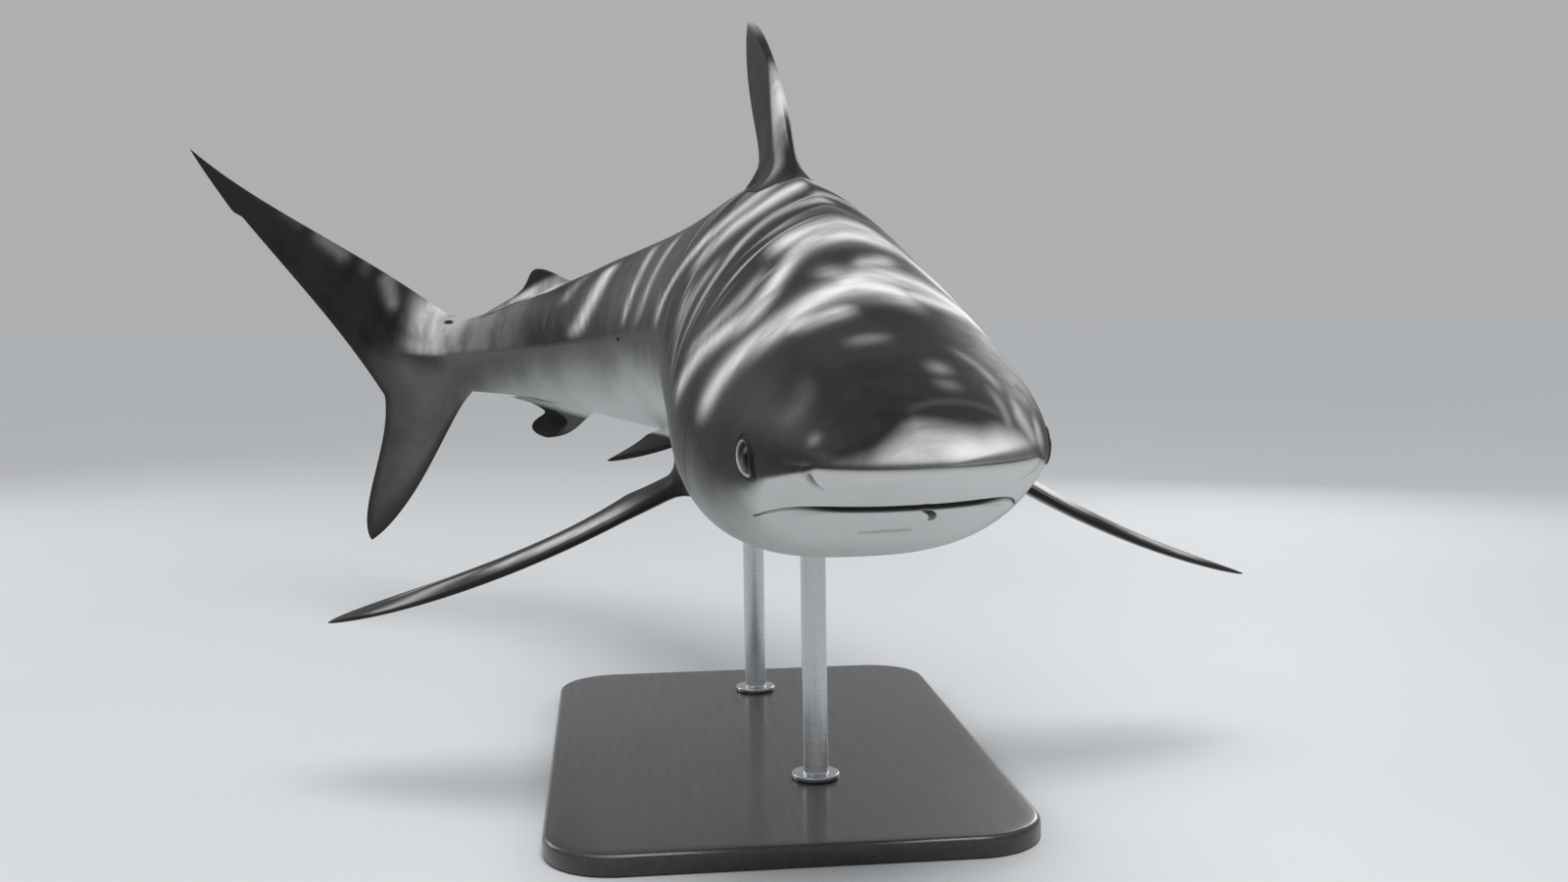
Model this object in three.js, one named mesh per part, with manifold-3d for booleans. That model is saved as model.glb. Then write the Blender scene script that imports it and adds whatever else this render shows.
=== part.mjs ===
// A silky shark, life size, in a slow turn, held on a display stand.
//
// Frame: millimetres, +Z up, head toward -Y, the shark's right side toward -X.
// The origin is the centre of the stand's underside.
//
// The animal is shaped as if it lay straight, in percent of its total length:
//   s    distance from the snout tip, along the body
//   side distance from the middle plane, positive on the shark's right
//   up   distance above the body's axis
// bend() then puts each such point into the swimming pose, in millimetres.
import * as THREE from 'three';
import Module from 'manifold-3d';

const wasm = await Module();
wasm.setup();

// ---------------------------------------------------------------- sizes
const TOTAL_LENGTH = 2000;
const PCT = TOTAL_LENGTH / 100;
const GAP = 0.3 / PCT;                 // clearance between neighbouring solids
const DEG = Math.PI / 180;

// Where the snout tip stands over the stand's centre.
const SNOUT = { x: 30, y: -678, z: 345 };

// Body outline: half width, top, bottom, height of the widest level, and how
// peaked the back and how full the belly is (1 is an ellipse, more is leaner).
const BODY = [
  { at: 0, half: 0, top: 0, bottom: 0, level: 0, back: 1, belly: 1 },
  { at: 1, half: 2.0, top: 1.0, bottom: -0.5, level: 0, back: 1, belly: 0.85 },
  { at: 4, half: 3.65, top: 2.3, bottom: -1.15, level: -0.1, back: 1, belly: 0.75 },
  { at: 8, half: 4.75, top: 3.45, bottom: -2.5, level: -0.5, back: 1, belly: 0.72 },
  { at: 12, half: 5.5, top: 4.45, bottom: -4.25, level: -1.3, back: 1.08, belly: 0.72 },
  { at: 17, half: 6.05, top: 5.6, bottom: -5.75, level: -2.1, back: 1.22, belly: 0.74 },
  { at: 23, half: 6.25, top: 6.65, bottom: -6.3, level: -2.3, back: 1.34, belly: 0.78 },
  { at: 30, half: 6.1, top: 7.5, bottom: -6.6, level: -2.0, back: 1.38, belly: 0.85 },
  { at: 37, half: 5.8, top: 7.7, bottom: -6.7, level: -1.6, back: 1.32, belly: 0.92 },
  { at: 45, half: 5.0, top: 6.95, bottom: -6.5, level: -1.2, back: 1.2, belly: 0.95 },
  { at: 53, half: 3.95, top: 5.8, bottom: -5.95, level: -0.9, back: 1.12, belly: 0.97 },
  { at: 61, half: 2.95, top: 4.4, bottom: -4.65, level: -0.4, back: 1.05, belly: 1 },
  { at: 68, half: 2.0, top: 2.95, bottom: -2.95, level: 0, back: 1, belly: 1 },
  { at: 72, half: 1.6, top: 2.3, bottom: -2.3, level: 0, back: 1, belly: 1 },
];
const TAIL_START = 72;                 // where the body ends and the tail fin starts

// Swimming pose, in degrees: the tail sweeps to the shark's right, the body
// tips nose-down a little at the shoulders, and rolls slightly along its length.
const TAIL_TURN = 66;
const TURN_CENTRE = 55.2;
const TURN_SOFTNESS = 6.6;
const HEAD_TURN = -2;
const HEAD_TURN_END = 12;
const PITCH = [[0, -2], [20, 6.5], [45, 0], [65, -5], [100, 0]];
const ROLL = [[0, 2], [35, 0], [60, 0], [78, -4]];

// Mouth, eyes and gills.
const MOUTH = {
  front: 5.8, corner: 10.05, halfWidth: 4.25, squareness: 4, up: -1.66, slope: -0.21, depth: 1.4, reach: 1.6,
};
const EYE = { s: 7.65, side: 4.28, up: -0.3, long: 0.68, high: 0.56, deep: 0.48 };
const GILLS = { first: 17.2, step: 1.35, count: 5, up: -1.6, height: 3.4, width: 0.16, depth: 0.35 };

// Body nodes, from the snout back: where each one ends, and its rows of facets.
const NOSE_START = 0.05;
const BODY_NODES = [
  { name: 'head', end: 14.2, rows: 12 },
  { name: 'gill_region', end: 23.6, rows: 6 },
  { name: 'trunk_front', end: 36, rows: 7 },
  { name: 'trunk_middle', end: 48.5, rows: 7 },
  { name: 'trunk_rear', end: 61.2, rows: 8 },
  { name: 'tail_stem', end: TAIL_START, rows: 8 },
];
const BODY_COLUMNS = 28;

// Display stand.
const STAND = {
  length: 600, width: 400, thick: 18, corner: 60,
  rodRadius: 11, rodSides: 20, rods: [{ name: 'front', s: 27 }, { name: 'rear', s: 44 }],
};

// ------------------------------------------------------- curves and lists
const range = (count) => [...Array(count).keys()];
const mix = (a, b, t) => a + (b - a) * t;
const clamp = (v, low, high) => Math.min(high, Math.max(low, v));

/** Smooth curve through the points (natural cubic spline), held at its ends. */
function smoothCurve(xs, ys) {
  const n = xs.length;
  const h = range(n - 1).map((i) => xs[i + 1] - xs[i]);
  const bend2 = new Array(n).fill(0);
  const upper = new Array(n).fill(0);
  for (let i = 1; i < n - 1; i += 1) {
    const jump = 6 * ((ys[i + 1] - ys[i]) / h[i] - (ys[i] - ys[i - 1]) / h[i - 1]);
    const pivot = 2 * (h[i - 1] + h[i]) - h[i - 1] * upper[i - 1];
    upper[i] = h[i] / pivot;
    bend2[i] = (jump - h[i - 1] * bend2[i - 1]) / pivot;
  }
  for (let i = n - 2; i > 0; i -= 1) bend2[i] -= upper[i] * bend2[i + 1];
  return (x0) => {
    const x = clamp(x0, xs[0], xs[n - 1]);
    let k = 0;
    while (k < n - 2 && x > xs[k + 1]) k += 1;
    const a = xs[k + 1] - x;
    const b = x - xs[k];
    return (bend2[k] * a ** 3 + bend2[k + 1] * b ** 3) / (6 * h[k])
      + (ys[k] / h[k] - bend2[k] * h[k] / 6) * a
      + (ys[k + 1] / h[k] - bend2[k + 1] * h[k] / 6) * b;
  };
}

/** Point at t on the Bezier curve with these control points. */
function bezier(points, t) {
  let level = points;
  while (level.length > 1) {
    const last = level;
    level = range(last.length - 1).map((i) => last[i].map((v, axis) => mix(v, last[i + 1][axis], t)));
  }
  return level[0];
}

// ------------------------------------------------------------ body form
// The outline runs over the square root of s, which makes the nose round.
const roots = BODY.map((row) => Math.sqrt(row.at));
const form = Object.fromEntries(
  ['half', 'top', 'bottom', 'level', 'back', 'belly'].map(
    (field) => [field, smoothCurve(roots, BODY.map((row) => row[field]))],
  ),
);
const topAt = (s) => form.top(Math.sqrt(s));
const bottomAt = (s) => form.bottom(Math.sqrt(s));

/** Point of the body's skin: station s, angle around it, grown outward by `grow`. */
function skinPoint(s, angle, grow = 0) {
  const u = Math.sqrt(Math.max(s, 0));
  const c = Math.cos(angle);
  const q = Math.sin(angle);
  const power = q >= 0 ? form.back(u) : form.belly(u);
  const tall = q >= 0 ? form.top(u) - form.level(u) : form.level(u) - form.bottom(u);
  return {
    s,
    side: (form.half(u) + grow) * Math.sign(c) * Math.abs(c) ** power,
    up: form.level(u) + (tall + grow) * q,
  };
}

// ----------------------------------------------------------------- pose
const pitchAt = smoothCurve(PITCH.map((p) => p[0]), PITCH.map((p) => p[1]));
const rollAt = smoothCurve(ROLL.map((p) => p[0]), ROLL.map((p) => p[1]));
const turnAt = (s) => TAIL_TURN / (1 + Math.exp((TURN_CENTRE - s) / TURN_SOFTNESS))
  + HEAD_TURN * clamp(1 - s / HEAD_TURN_END, 0, 1);

/** The body's axis as a list of frames: place, and the back, right and up directions. */
const AXIS_STEP = 0.25;
const AXIS = (() => {
  const frames = [];
  const place = new THREE.Vector3(SNOUT.x / PCT, SNOUT.y / PCT, SNOUT.z / PCT);
  let last = null;
  for (let s = 0; s <= 110; s += AXIS_STEP) {
    const turn = turnAt(s) * DEG;
    const pitch = pitchAt(s) * DEG;
    const roll = rollAt(s) * DEG;
    const back = new THREE.Vector3(
      -Math.sin(turn) * Math.cos(pitch), Math.cos(turn) * Math.cos(pitch), Math.sin(pitch),
    );
    const flat = new THREE.Vector3(0, 0, 1).cross(back).normalize();
    const tall = back.clone().cross(flat);
    const right = flat.clone().multiplyScalar(Math.cos(roll)).addScaledVector(tall, -Math.sin(roll));
    const up = tall.clone().multiplyScalar(Math.cos(roll)).addScaledVector(flat, Math.sin(roll));
    if (last) place.addScaledVector(last.clone().add(back), AXIS_STEP / 2);
    last = back;
    frames.push({ place: place.clone(), back, right, up });
  }
  return frames;
})();

/** From the straight animal, in percent, to the posed one, in millimetres. */
function bend({ s, side, up }) {
  const k = clamp(s, 0, 109.9) / AXIS_STEP;
  const i = Math.floor(k);
  const t = k - i;
  const between = (field) => AXIS[i][field].clone().lerp(AXIS[i + 1][field], t);
  return between('place')
    .addScaledVector(between('right'), side)
    .addScaledVector(between('up'), up)
    .addScaledVector(AXIS[0].back, Math.min(s, 0))
    .multiplyScalar(PCT);
}

// --------------------------------------------------------------- meshes
/** A closed mesh under construction: corner points and triangles. */
class Shell {
  constructor() {
    this.points = [];
    this.triangles = [];
  }

  add(point) {
    this.points.push(point);
    return this.points.length - 1;
  }

  quad(a, b, c, d) {
    this.triangles.push([a, b, c], [a, c, d]);
  }

  /** Fan over a ring of corners, round a new point in their middle. */
  fan(ring, flip) {
    const middle = new THREE.Vector3();
    ring.forEach((i) => middle.addScaledVector(this.points[i], 1 / ring.length));
    const centre = this.add(middle);
    ring.forEach((a, k) => {
      const b = ring[(k + 1) % ring.length];
      this.triangles.push(flip ? [b, a, centre] : [a, b, centre]);
    });
  }

  volume() {
    const cross = new THREE.Vector3();
    return this.triangles.reduce((sum, [a, b, c]) => {
      cross.crossVectors(this.points[b], this.points[c]);
      return sum + this.points[a].dot(cross) / 6;
    }, 0);
  }

  solid() {
    const outward = this.volume() > 0;
    const order = this.triangles.map(([a, b, c]) => (outward ? [a, b, c] : [a, c, b]));
    const mesh = new wasm.Mesh({
      numProp: 3,
      vertProperties: Float32Array.from(this.points.flatMap((p) => [p.x, p.y, p.z])),
      triVerts: Uint32Array.from(order.flat()),
    });
    return new wasm.Manifold(mesh);
  }
}

/** Solid through rings of corners, closed at both ends. */
function loft(rings) {
  const shell = new Shell();
  const rows = rings.map((ring) => ring.map((point) => shell.add(point)));
  for (let i = 0; i + 1 < rows.length; i += 1) {
    rows[i].forEach((a, j) => {
      const k = (j + 1) % rows[i].length;
      shell.quad(a, rows[i][k], rows[i + 1][k], rows[i + 1][j]);
    });
  }
  shell.fan(rows[0], true);
  shell.fan(rows[rows.length - 1], false);
  return shell.solid();
}

/**
 * Solid blade from a grid of (row, column) places, each with a right and a left
 * face point. Its rim joins the two faces.
 */
function blade(rows, columns, faces) {
  const shell = new Shell();
  const sides = ['right', 'left'].map(() => []);
  range(rows).forEach((i) => {
    const pairs = range(columns).map((j) => faces(i / (rows - 1), j / (columns - 1)));
    sides[0].push(pairs.map((pair) => shell.add(pair.right)));
    sides[1].push(pairs.map((pair) => shell.add(pair.left)));
  });
  const [right, left] = sides;
  for (let i = 0; i + 1 < rows; i += 1) {
    for (let j = 0; j + 1 < columns; j += 1) {
      shell.quad(right[i][j], right[i][j + 1], right[i + 1][j + 1], right[i + 1][j]);
      shell.quad(left[i][j + 1], left[i][j], left[i + 1][j], left[i + 1][j + 1]);
    }
    const n = columns - 1;
    shell.quad(left[i][0], right[i][0], right[i + 1][0], left[i + 1][0]);
    shell.quad(right[i][n], left[i][n], left[i + 1][n], right[i + 1][n]);
  }
  for (let j = 0; j + 1 < columns; j += 1) {
    const last = rows - 1;
    shell.quad(right[0][j + 1], right[0][j], left[0][j], left[0][j + 1]);
    shell.quad(right[last][j], right[last][j + 1], left[last][j + 1], left[last][j]);
  }
  return shell.solid();
}

const materials = {
  back: new THREE.MeshStandardMaterial({ color: 0x4a4744, roughness: 0.55, metalness: 0 }),
  fin: new THREE.MeshStandardMaterial({ color: 0x403d3b, roughness: 0.55, metalness: 0 }),
  jaw: new THREE.MeshStandardMaterial({ color: 0xd9dad6, roughness: 0.55, metalness: 0 }),
  eye: new THREE.MeshStandardMaterial({ color: 0x1c1d1a, roughness: 0.12, metalness: 0 }),
  base: new THREE.MeshStandardMaterial({ color: 0x1b1b1c, roughness: 0.45, metalness: 0 }),
  rod: new THREE.MeshStandardMaterial({ color: 0xb9bbbd, roughness: 0.32, metalness: 1 }),
};

const root = new THREE.Group();
root.name = 'silky_shark';

function place(name, solid, material) {
  const mesh = solid.getMesh();
  const geometry = new THREE.BufferGeometry();
  geometry.setAttribute('position', new THREE.BufferAttribute(mesh.vertProperties, 3));
  geometry.setIndex(new THREE.BufferAttribute(mesh.triVerts, 1));
  geometry.computeVertexNormals();
  const node = new THREE.Mesh(geometry, material);
  node.name = name;
  root.add(node);
}

// ----------------------------------------------------------------- body
/** Stations from start to end, closer together at the nose. */
function stations(start, end, rows) {
  const first = Math.sqrt(start);
  return range(rows + 1).map((i) => mix(first, Math.sqrt(end), i / rows) ** 2);
}

/** Body through these stations, grown outward by `grow`. */
function bodySolid(list, grow = 0) {
  const angles = range(BODY_COLUMNS).map((j) => (j / BODY_COLUMNS) * 2 * Math.PI);
  return loft(list.map((s) => angles.map((angle) => bend(skinPoint(s, angle, grow)))));
}

/** The block under the mouth line that the lower jaw is cut from. */
function jawBlock(grow) {
  const half = 7;
  const arc = range(2 * half + 1).map((i) => {
    const t = i / half - 1;
    const s = mix(MOUTH.front, MOUTH.corner, Math.abs(t) ** MOUTH.squareness) - grow;
    return { s, side: t * MOUTH.halfWidth };
  });
  const outside = MOUTH.halfWidth + 2.5;
  const ends = [-outside, outside].map((side) => ({ s: MOUTH.corner - grow, side }));
  const plan = [ends[0], ...arc, ends[1]].map((p) => (
    { ...p, up: MOUTH.up + MOUTH.slope * (p.s - MOUTH.front) + grow }
  ));
  const steps = plan.length - 1;
  const behind = MOUTH.corner + MOUTH.reach + grow;
  const inner = plan.map((p) => ({ s: behind, side: p.side, up: p.up + MOUTH.depth }));
  const shell = new Shell();
  const rows = [
    plan.map((p) => ({ ...p, up: -9 })),
    plan,
    inner,
    inner.map((p) => ({ ...p, up: -9 })),
  ].map((row) => row.map((p) => shell.add(bend(p))));
  rows.forEach((row, r) => {
    const next = rows[(r + 1) % rows.length];
    for (let j = 0; j < steps; j += 1) shell.quad(row[j], row[j + 1], next[j + 1], next[j]);
  });
  const close = (j, flip) => {
    const ring = rows.map((row) => row[j]);
    if (flip) ring.reverse();
    shell.quad(ring[0], ring[1], ring[2], ring[3]);
  };
  close(0, false);
  close(steps, true);
  return shell.solid();
}

/** One eyeball, or its socket when grown. */
function eyeball(sign, grow) {
  const ball = wasm.Manifold.sphere(1, 16);
  const mesh = ball.getMesh();
  const middle = { s: EYE.s, side: sign * EYE.side, up: EYE.up };
  const points = mesh.vertProperties.slice();
  for (let i = 0; i < points.length; i += 3) {
    const p = bend({
      s: middle.s + points[i] * (EYE.long + grow),
      side: middle.side + points[i + 1] * (EYE.deep + grow),
      up: middle.up + points[i + 2] * (EYE.high + grow),
    });
    points.set([p.x, p.y, p.z], i);
  }
  const shell = new Shell();
  for (let i = 0; i < points.length; i += 3) {
    shell.add(new THREE.Vector3(points[i], points[i + 1], points[i + 2]));
  }
  for (let i = 0; i < mesh.triVerts.length; i += 3) {
    shell.triangles.push([...mesh.triVerts.slice(i, i + 3)]);
  }
  return shell.solid();
}

/** One gill slit: a thin wedge let into the skin. */
function gillSlit(sign, index) {
  const s = GILLS.first + GILLS.step * index;
  const half = GILLS.height * (1 - 0.09 * index) / 2;
  const wide = GILLS.width / 2;
  const skinSide = (up) => {
    const u = Math.sqrt(s);
    const tall = up > form.level(u) ? form.top(u) - form.level(u) : form.level(u) - form.bottom(u);
    const power = up > form.level(u) ? form.back(u) : form.belly(u);
    const rise = clamp((up - form.level(u)) / tall, -0.99, 0.99);
    return form.half(u) * (1 - rise * rise) ** (power / 2);
  };
  const levels = [-half, -half / 3, half / 3, half].map((v) => GILLS.up + 0.12 * index + v);
  const rings = levels.map((up, k) => {
    const lean = 0.16 * (k - 1.5);
    const inset = k === 0 || k === 3 ? 0.12 : GILLS.depth;
    const at = (ds, side) => bend({ s: s + lean + ds, side: sign * side, up });
    return [
      at(-wide, skinSide(up) + 0.6), at(wide, skinSide(up) + 0.6),
      at(wide * 0.3, skinSide(up) - inset), at(-wide * 0.3, skinSide(up) - inset),
    ];
  });
  return loft(rings);
}

// ----------------------------------------------------------------- fins
/** Thickness of a fin section along its chord, 0 at both edges. */
const foil = (c) => 2 * Math.sqrt(c) * (1 - c) * (1 - 0.35 * c);
/** Chord positions, closer together at both edges. */
const spread = (c) => (1 - Math.cos(c * Math.PI)) / 2;

/**
 * A fin as a blade between its leading and its hind edge. The hind edge runs
 * from the end of the base to the free rear tip, then up to the apex.
 */
function finSolid(fin) {
  const { rows, columns } = fin;
  return blade(rows, columns, (i, j) => {
    const k = 0.992 * Math.sin(i * Math.PI / 2);
    const front = bezier(fin.leading, k);
    const hind = k < fin.split
      ? bezier(fin.inner, k / fin.split)
      : bezier(fin.hind, Math.sin((k - fin.split) / (1 - fin.split) * Math.PI / 2));
    const c = spread(j);
    const along = mix(front[0], hind[0], c);
    const out = mix(front[1], hind[1], c);
    const half = (mix(fin.thick, fin.thickTip, k) * foil(c) + fin.edge) / 2;
    return { right: bend(fin.plane(along, out, half)), left: bend(fin.plane(along, out, -half)) };
  });
}

/** Plane of a fin on the back or belly. `lean` bends its rear flap to the right. */
const middlePlane = (flapStart = 200, lean = 0) => (along, out, off) => ({
  s: along, side: off + lean * Math.max(0, along - flapStart) ** 1.5, up: out,
});

/** Plane of a paired fin: its root, the direction of its span, its tilt and its twist. */
const pairedPlane = (
  sign, rootSide, rootUp, spanSide, spanUp, incidence, twist, sweep, rootAt, bow = 0,
) => {
  const length = Math.hypot(spanSide, spanUp);
  const e = [spanSide / length, spanUp / length];
  return (along, out, off) => {
    const behind = along - rootAt - sweep * out / length;
    const reach = clamp(out / length, 0, 1);
    const tilt = incidence + twist * reach;
    const lift = off + bow * Math.sin(Math.PI * reach);
    return {
      s: along,
      side: sign * (rootSide + out * e[0] - lift * e[1]),
      up: rootUp + out * e[1] + lift * e[0] - Math.tan(tilt * DEG) * behind,
    };
  };
};

const FIRST_DORSAL = (() => {
  const origin = 32.6;
  const apex = [43.1, 15.8];
  const flap = [44.9, topAt(44.9) + 0.25];
  return {
    leading: [[origin - 0.5, topAt(origin) - 1], [origin + 2, topAt(origin) + 3],
      [origin + 7.8, apex[1] - 0.7], apex],
    inner: [[41.6, topAt(42.3) - 1], [42.5, topAt(42.7) + 0.1], flap],
    hind: [flap, [39.5, topAt(39.5) + 0.6], [40, topAt(40) + 1.8], [44.9, 10.2], [43.9, 16], apex],
    split: 0.22, thick: 1.65, thickTip: 0.35, edge: 0.07, rows: 16, columns: 9, plane: middlePlane(),
  };
})();

const SECOND_DORSAL = (() => {
  const apex = [66, topAt(66) + 1.65];
  const flap = [70.3, topAt(70.3) - 0.3];
  return {
    leading: [[62.8, topAt(62.8) - 0.3], [64, topAt(64) + 0.2], [64.9, apex[1] - 0.1], apex],
    inner: [[66, topAt(66) - 0.4], [68, topAt(68) + 0.25], flap],
    hind: [flap, [69.5, topAt(69.5) - 0.1], [68.5, apex[1] - 1.3], [66.2, apex[1] - 2.1],
      [67.3, apex[1] + 0.1], apex],
    split: 0.3, thick: 0.8, thickTip: 0.2, edge: 0.06, rows: 11, columns: 7,
    plane: middlePlane(66.3, 0.12),
  };
})();

const ANAL = (() => {
  const apex = [66.4, bottomAt(66.4) - 2.4];
  const flap = [69, bottomAt(69) - 0.12];
  return {
    leading: [[61.6, bottomAt(61.6) + 0.5], [63.7, bottomAt(63.7) - 0.6], [63.8, apex[1] - 0.1], apex],
    inner: [[65.8, bottomAt(65.8) + 0.4], [67.2, bottomAt(67.4) + 0.05], flap],
    hind: [flap, [67.4, apex[1] + 2.7], [64.9, apex[1] + 0.5], [65.6, apex[1] + 2.4],
      [69.6, apex[1] + 0.9], apex],
    split: 0.35, thick: 0.9, thickTip: 0.25, edge: 0.06, rows: 11, columns: 7, plane: middlePlane(),
  };
})();

// How each pectoral fin is held in the turn: its root's height, how far its apex
// droops, the tilt at its root with the twist out to its apex, and how far it is
// bowed. Both reach equally far out and back.
const SPAN = 15.55;
const SWEEP = 8;
const HELD = {
  right: { rootUp: -3.85, droop: 7.7, incidence: 8.9, twist: -7.8, bow: -0.6 },
  left: { rootUp: -2.9, droop: 7.95, incidence: 3.5, twist: 0, bow: -0.6 },
};

function pectoral(sign) {
  const { rootUp, droop, incidence, twist, bow } = sign > 0 ? HELD.right : HELD.left;
  const rootAt = 21.9;
  const length = Math.hypot(SPAN, droop);
  const at = (out, back) => [rootAt + back, out];
  return {
    leading: [at(-2, -0.4), at(5.5, 2.5), at(12.5, 2.9), at(length, SWEEP)],
    inner: [at(-2, 5.4), at(0.5, 5.6), at(2.6, 8.6)],
    hind: [at(2.6, 8.6), at(4.6, 4.5), at(10, 8), at(14.5, 8.8), at(length - 0.2, SWEEP + 1),
      at(length, SWEEP)],
    split: 0.25, thick: 1.3, thickTip: 0.1, edge: 0.07, rows: 18, columns: 9,
    plane: pairedPlane(sign, 5.38, rootUp, SPAN, -droop, incidence, twist, SWEEP, rootAt, bow),
  };
}

function pelvic(sign) {
  const rootAt = 49.5;
  const reach = 3.5;
  const at = (out, back) => [rootAt + back, out];
  return {
    leading: [at(-1, -1.4), at(1.7, -0.8), at(2.5, 2.2), at(reach, 5.3)],
    inner: [at(-1, 4), at(-0.2, 4.3), at(0.6, 5.1)],
    hind: [at(0.6, 5.1), at(1, 4.9), at(2, 4.7), at(3.1, 5.2), at(reach + 0.1, 5.7), at(reach, 5.3)],
    split: 0.35, thick: 0.95, thickTip: 0.25, edge: 0.06, rows: 11, columns: 7,
    plane: pairedPlane(sign, 1.8, -5.7, 2.0, -1.0, -2, 0, 0, rootAt),
  };
}

// Tail fin: rows run from the tail stem back to the fin's hind edge, columns
// from the lower to the upper leading edge.
const TAIL = {
  upperTip: [93.7, 15.9], lowerTip: [80.2, -11.6], fork: [78.5, -2.1],
};
const UPPER_LEADING = [[TAIL_START, 2.3], [73.6, 2.4], [77, 6.8], [86.4, 10.4], TAIL.upperTip];
const LOWER_LEADING = [[TAIL_START, -2.3], [74.1, -4.6], [75.3, -7.0], [77.8, -10.4], TAIL.lowerTip];
const LOWER_HIND = [TAIL.lowerTip, [81.3, -10.1], [79.2, -6.4], [78.4, -4.4], TAIL.fork];
const UPPER_HIND = [TAIL.fork, [82.8, 4.6], [88.7, 9.8], TAIL.upperTip];
const FORK_SHARE = 0.4;
// The lobe at the upper tip stands out behind a notch in the hind edge.
const TIP_LOBE = { share: 0.84, reach: 0.22 };

/** Hind edge of the tail fin, v from 0 at the lower tip to 1 at the upper tip. */
function tailHind(v) {
  if (v < FORK_SHARE) return bezier(LOWER_HIND, v / FORK_SHARE);
  const [s, up] = bezier(UPPER_HIND, (v - FORK_SHARE) / (1 - FORK_SHARE));
  const out = v < TIP_LOBE.share ? 0 : TIP_LOBE.reach * (1 - v) / (1 - TIP_LOBE.share);
  return [s + out, up - out];
}

function tailSolid() {
  const start = TAIL_START + GAP;
  const [stemTop, stemWide] = [2.28, 1.58];
  return blade(13, 22, (i, j) => {
    const angle = (j - 0.5) * Math.PI;
    const k = i ** 1.15;
    const stem = [start, stemTop * Math.sin(angle)];
    const end = tailHind(j);
    const pull = (leading, first, last, share) => {
      const p = bezier(leading, k);
      return [0, 1].map((axis) => (p[axis] - mix(first[axis], last[axis], k)) * share);
    };
    const above = pull(UPPER_LEADING, [start, stemTop], TAIL.upperTip, j ** 5);
    const below = pull(LOWER_LEADING, [start, -stemTop], TAIL.lowerTip, (1 - j) ** 5);
    const fade = clamp(i * 6, 0, 1);
    const point = [0, 1].map((axis) => mix(stem[axis], end[axis], k) + (above[axis] + below[axis]) * fade);
    const round = Math.max(0, Math.cos(angle));
    const half = stemWide * round * (1 - k) ** 2.4 + 0.22 * round ** 0.6 * (1 - k) * k ** 0.4 + 0.035;
    const at = (side) => bend({ s: point[0], side, up: point[1] });
    return { right: at(half), left: at(-half) };
  });
}

// ------------------------------------------------------------- assembly
let start = NOSE_START;
const nodeStations = BODY_NODES.map(({ end, rows }) => {
  const list = stations(start, end, rows);
  start = end;
  return list;
});
const wholeBody = bodySolid([...nodeStations.flatMap((list) => list.slice(0, -1)), TAIL_START], GAP);
const sockets = [1, -1].map((sign) => eyeball(sign, GAP));
const slits = [1, -1].flatMap((sign) => range(GILLS.count).map((i) => gillSlit(sign, i)));

BODY_NODES.forEach(({ name, end }, i) => {
  let solid = bodySolid([...nodeStations[i].slice(0, -1), end - GAP]);
  if (name === 'head') {
    const jaw = solid.intersect(jawBlock(0));
    place('lower_jaw', jaw, materials.jaw);
    solid = solid.subtract(jawBlock(GAP));
    sockets.forEach((socket) => { solid = solid.subtract(socket); });
  }
  if (name === 'gill_region') slits.forEach((slit) => { solid = solid.subtract(slit); });
  place(name, solid, materials.back);
});
place('tail_fin', tailSolid(), materials.fin);

place('eye_right', eyeball(1, 0), materials.eye);
place('eye_left', eyeball(-1, 0), materials.eye);

const fins = [
  ['dorsal_fin_first', FIRST_DORSAL],
  ['dorsal_fin_second', SECOND_DORSAL],
  ['anal_fin', ANAL],
  ['pectoral_fin_right', pectoral(1)],
  ['pectoral_fin_left', pectoral(-1)],
  ['pelvic_fin_right', pelvic(1)],
  ['pelvic_fin_left', pelvic(-1)],
];
fins.forEach(([name, fin]) => place(name, finSolid(fin).subtract(wholeBody), materials.fin));

/** Flat plate with rounded corners and a small bevel round its upper edge. */
function standBase() {
  const { length, width, thick, corner } = STAND;
  const outline = (inset) => range(4).flatMap((q) => range(7).map((i) => {
    const angle = (q + i / 6) * Math.PI / 2;
    const sx = q === 0 || q === 3 ? 1 : -1;
    const sy = q < 2 ? 1 : -1;
    return [
      sx * (width / 2 - corner) + (corner - inset) * Math.cos(angle),
      sy * (length / 2 - corner) + (corner - inset) * Math.sin(angle),
    ];
  }));
  const level = (inset, z) => outline(inset).map(([x, y]) => new THREE.Vector3(x, y, z));
  return loft([level(0, 0), level(0, thick - 3), level(3, thick)]);
}
place('stand_base', standBase(), materials.base);

STAND.rods.forEach(({ name, s }) => {
  const belly = bend({ s, side: 0, up: bottomAt(s) });
  const ring = (z) => range(STAND.rodSides).map((i) => {
    const angle = i / STAND.rodSides * 2 * Math.PI;
    return new THREE.Vector3(
      belly.x + STAND.rodRadius * Math.cos(angle), belly.y + STAND.rodRadius * Math.sin(angle), z,
    );
  });
  const rod = loft([ring(STAND.thick + 0.3), ring(belly.z + 25)]);
  place(`stand_rod_${name}`, rod.subtract(wholeBody), materials.rod);
});

export default root;
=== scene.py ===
import math

import bmesh
import bpy
import numpy as np
from mathutils import Matrix, Vector


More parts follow.
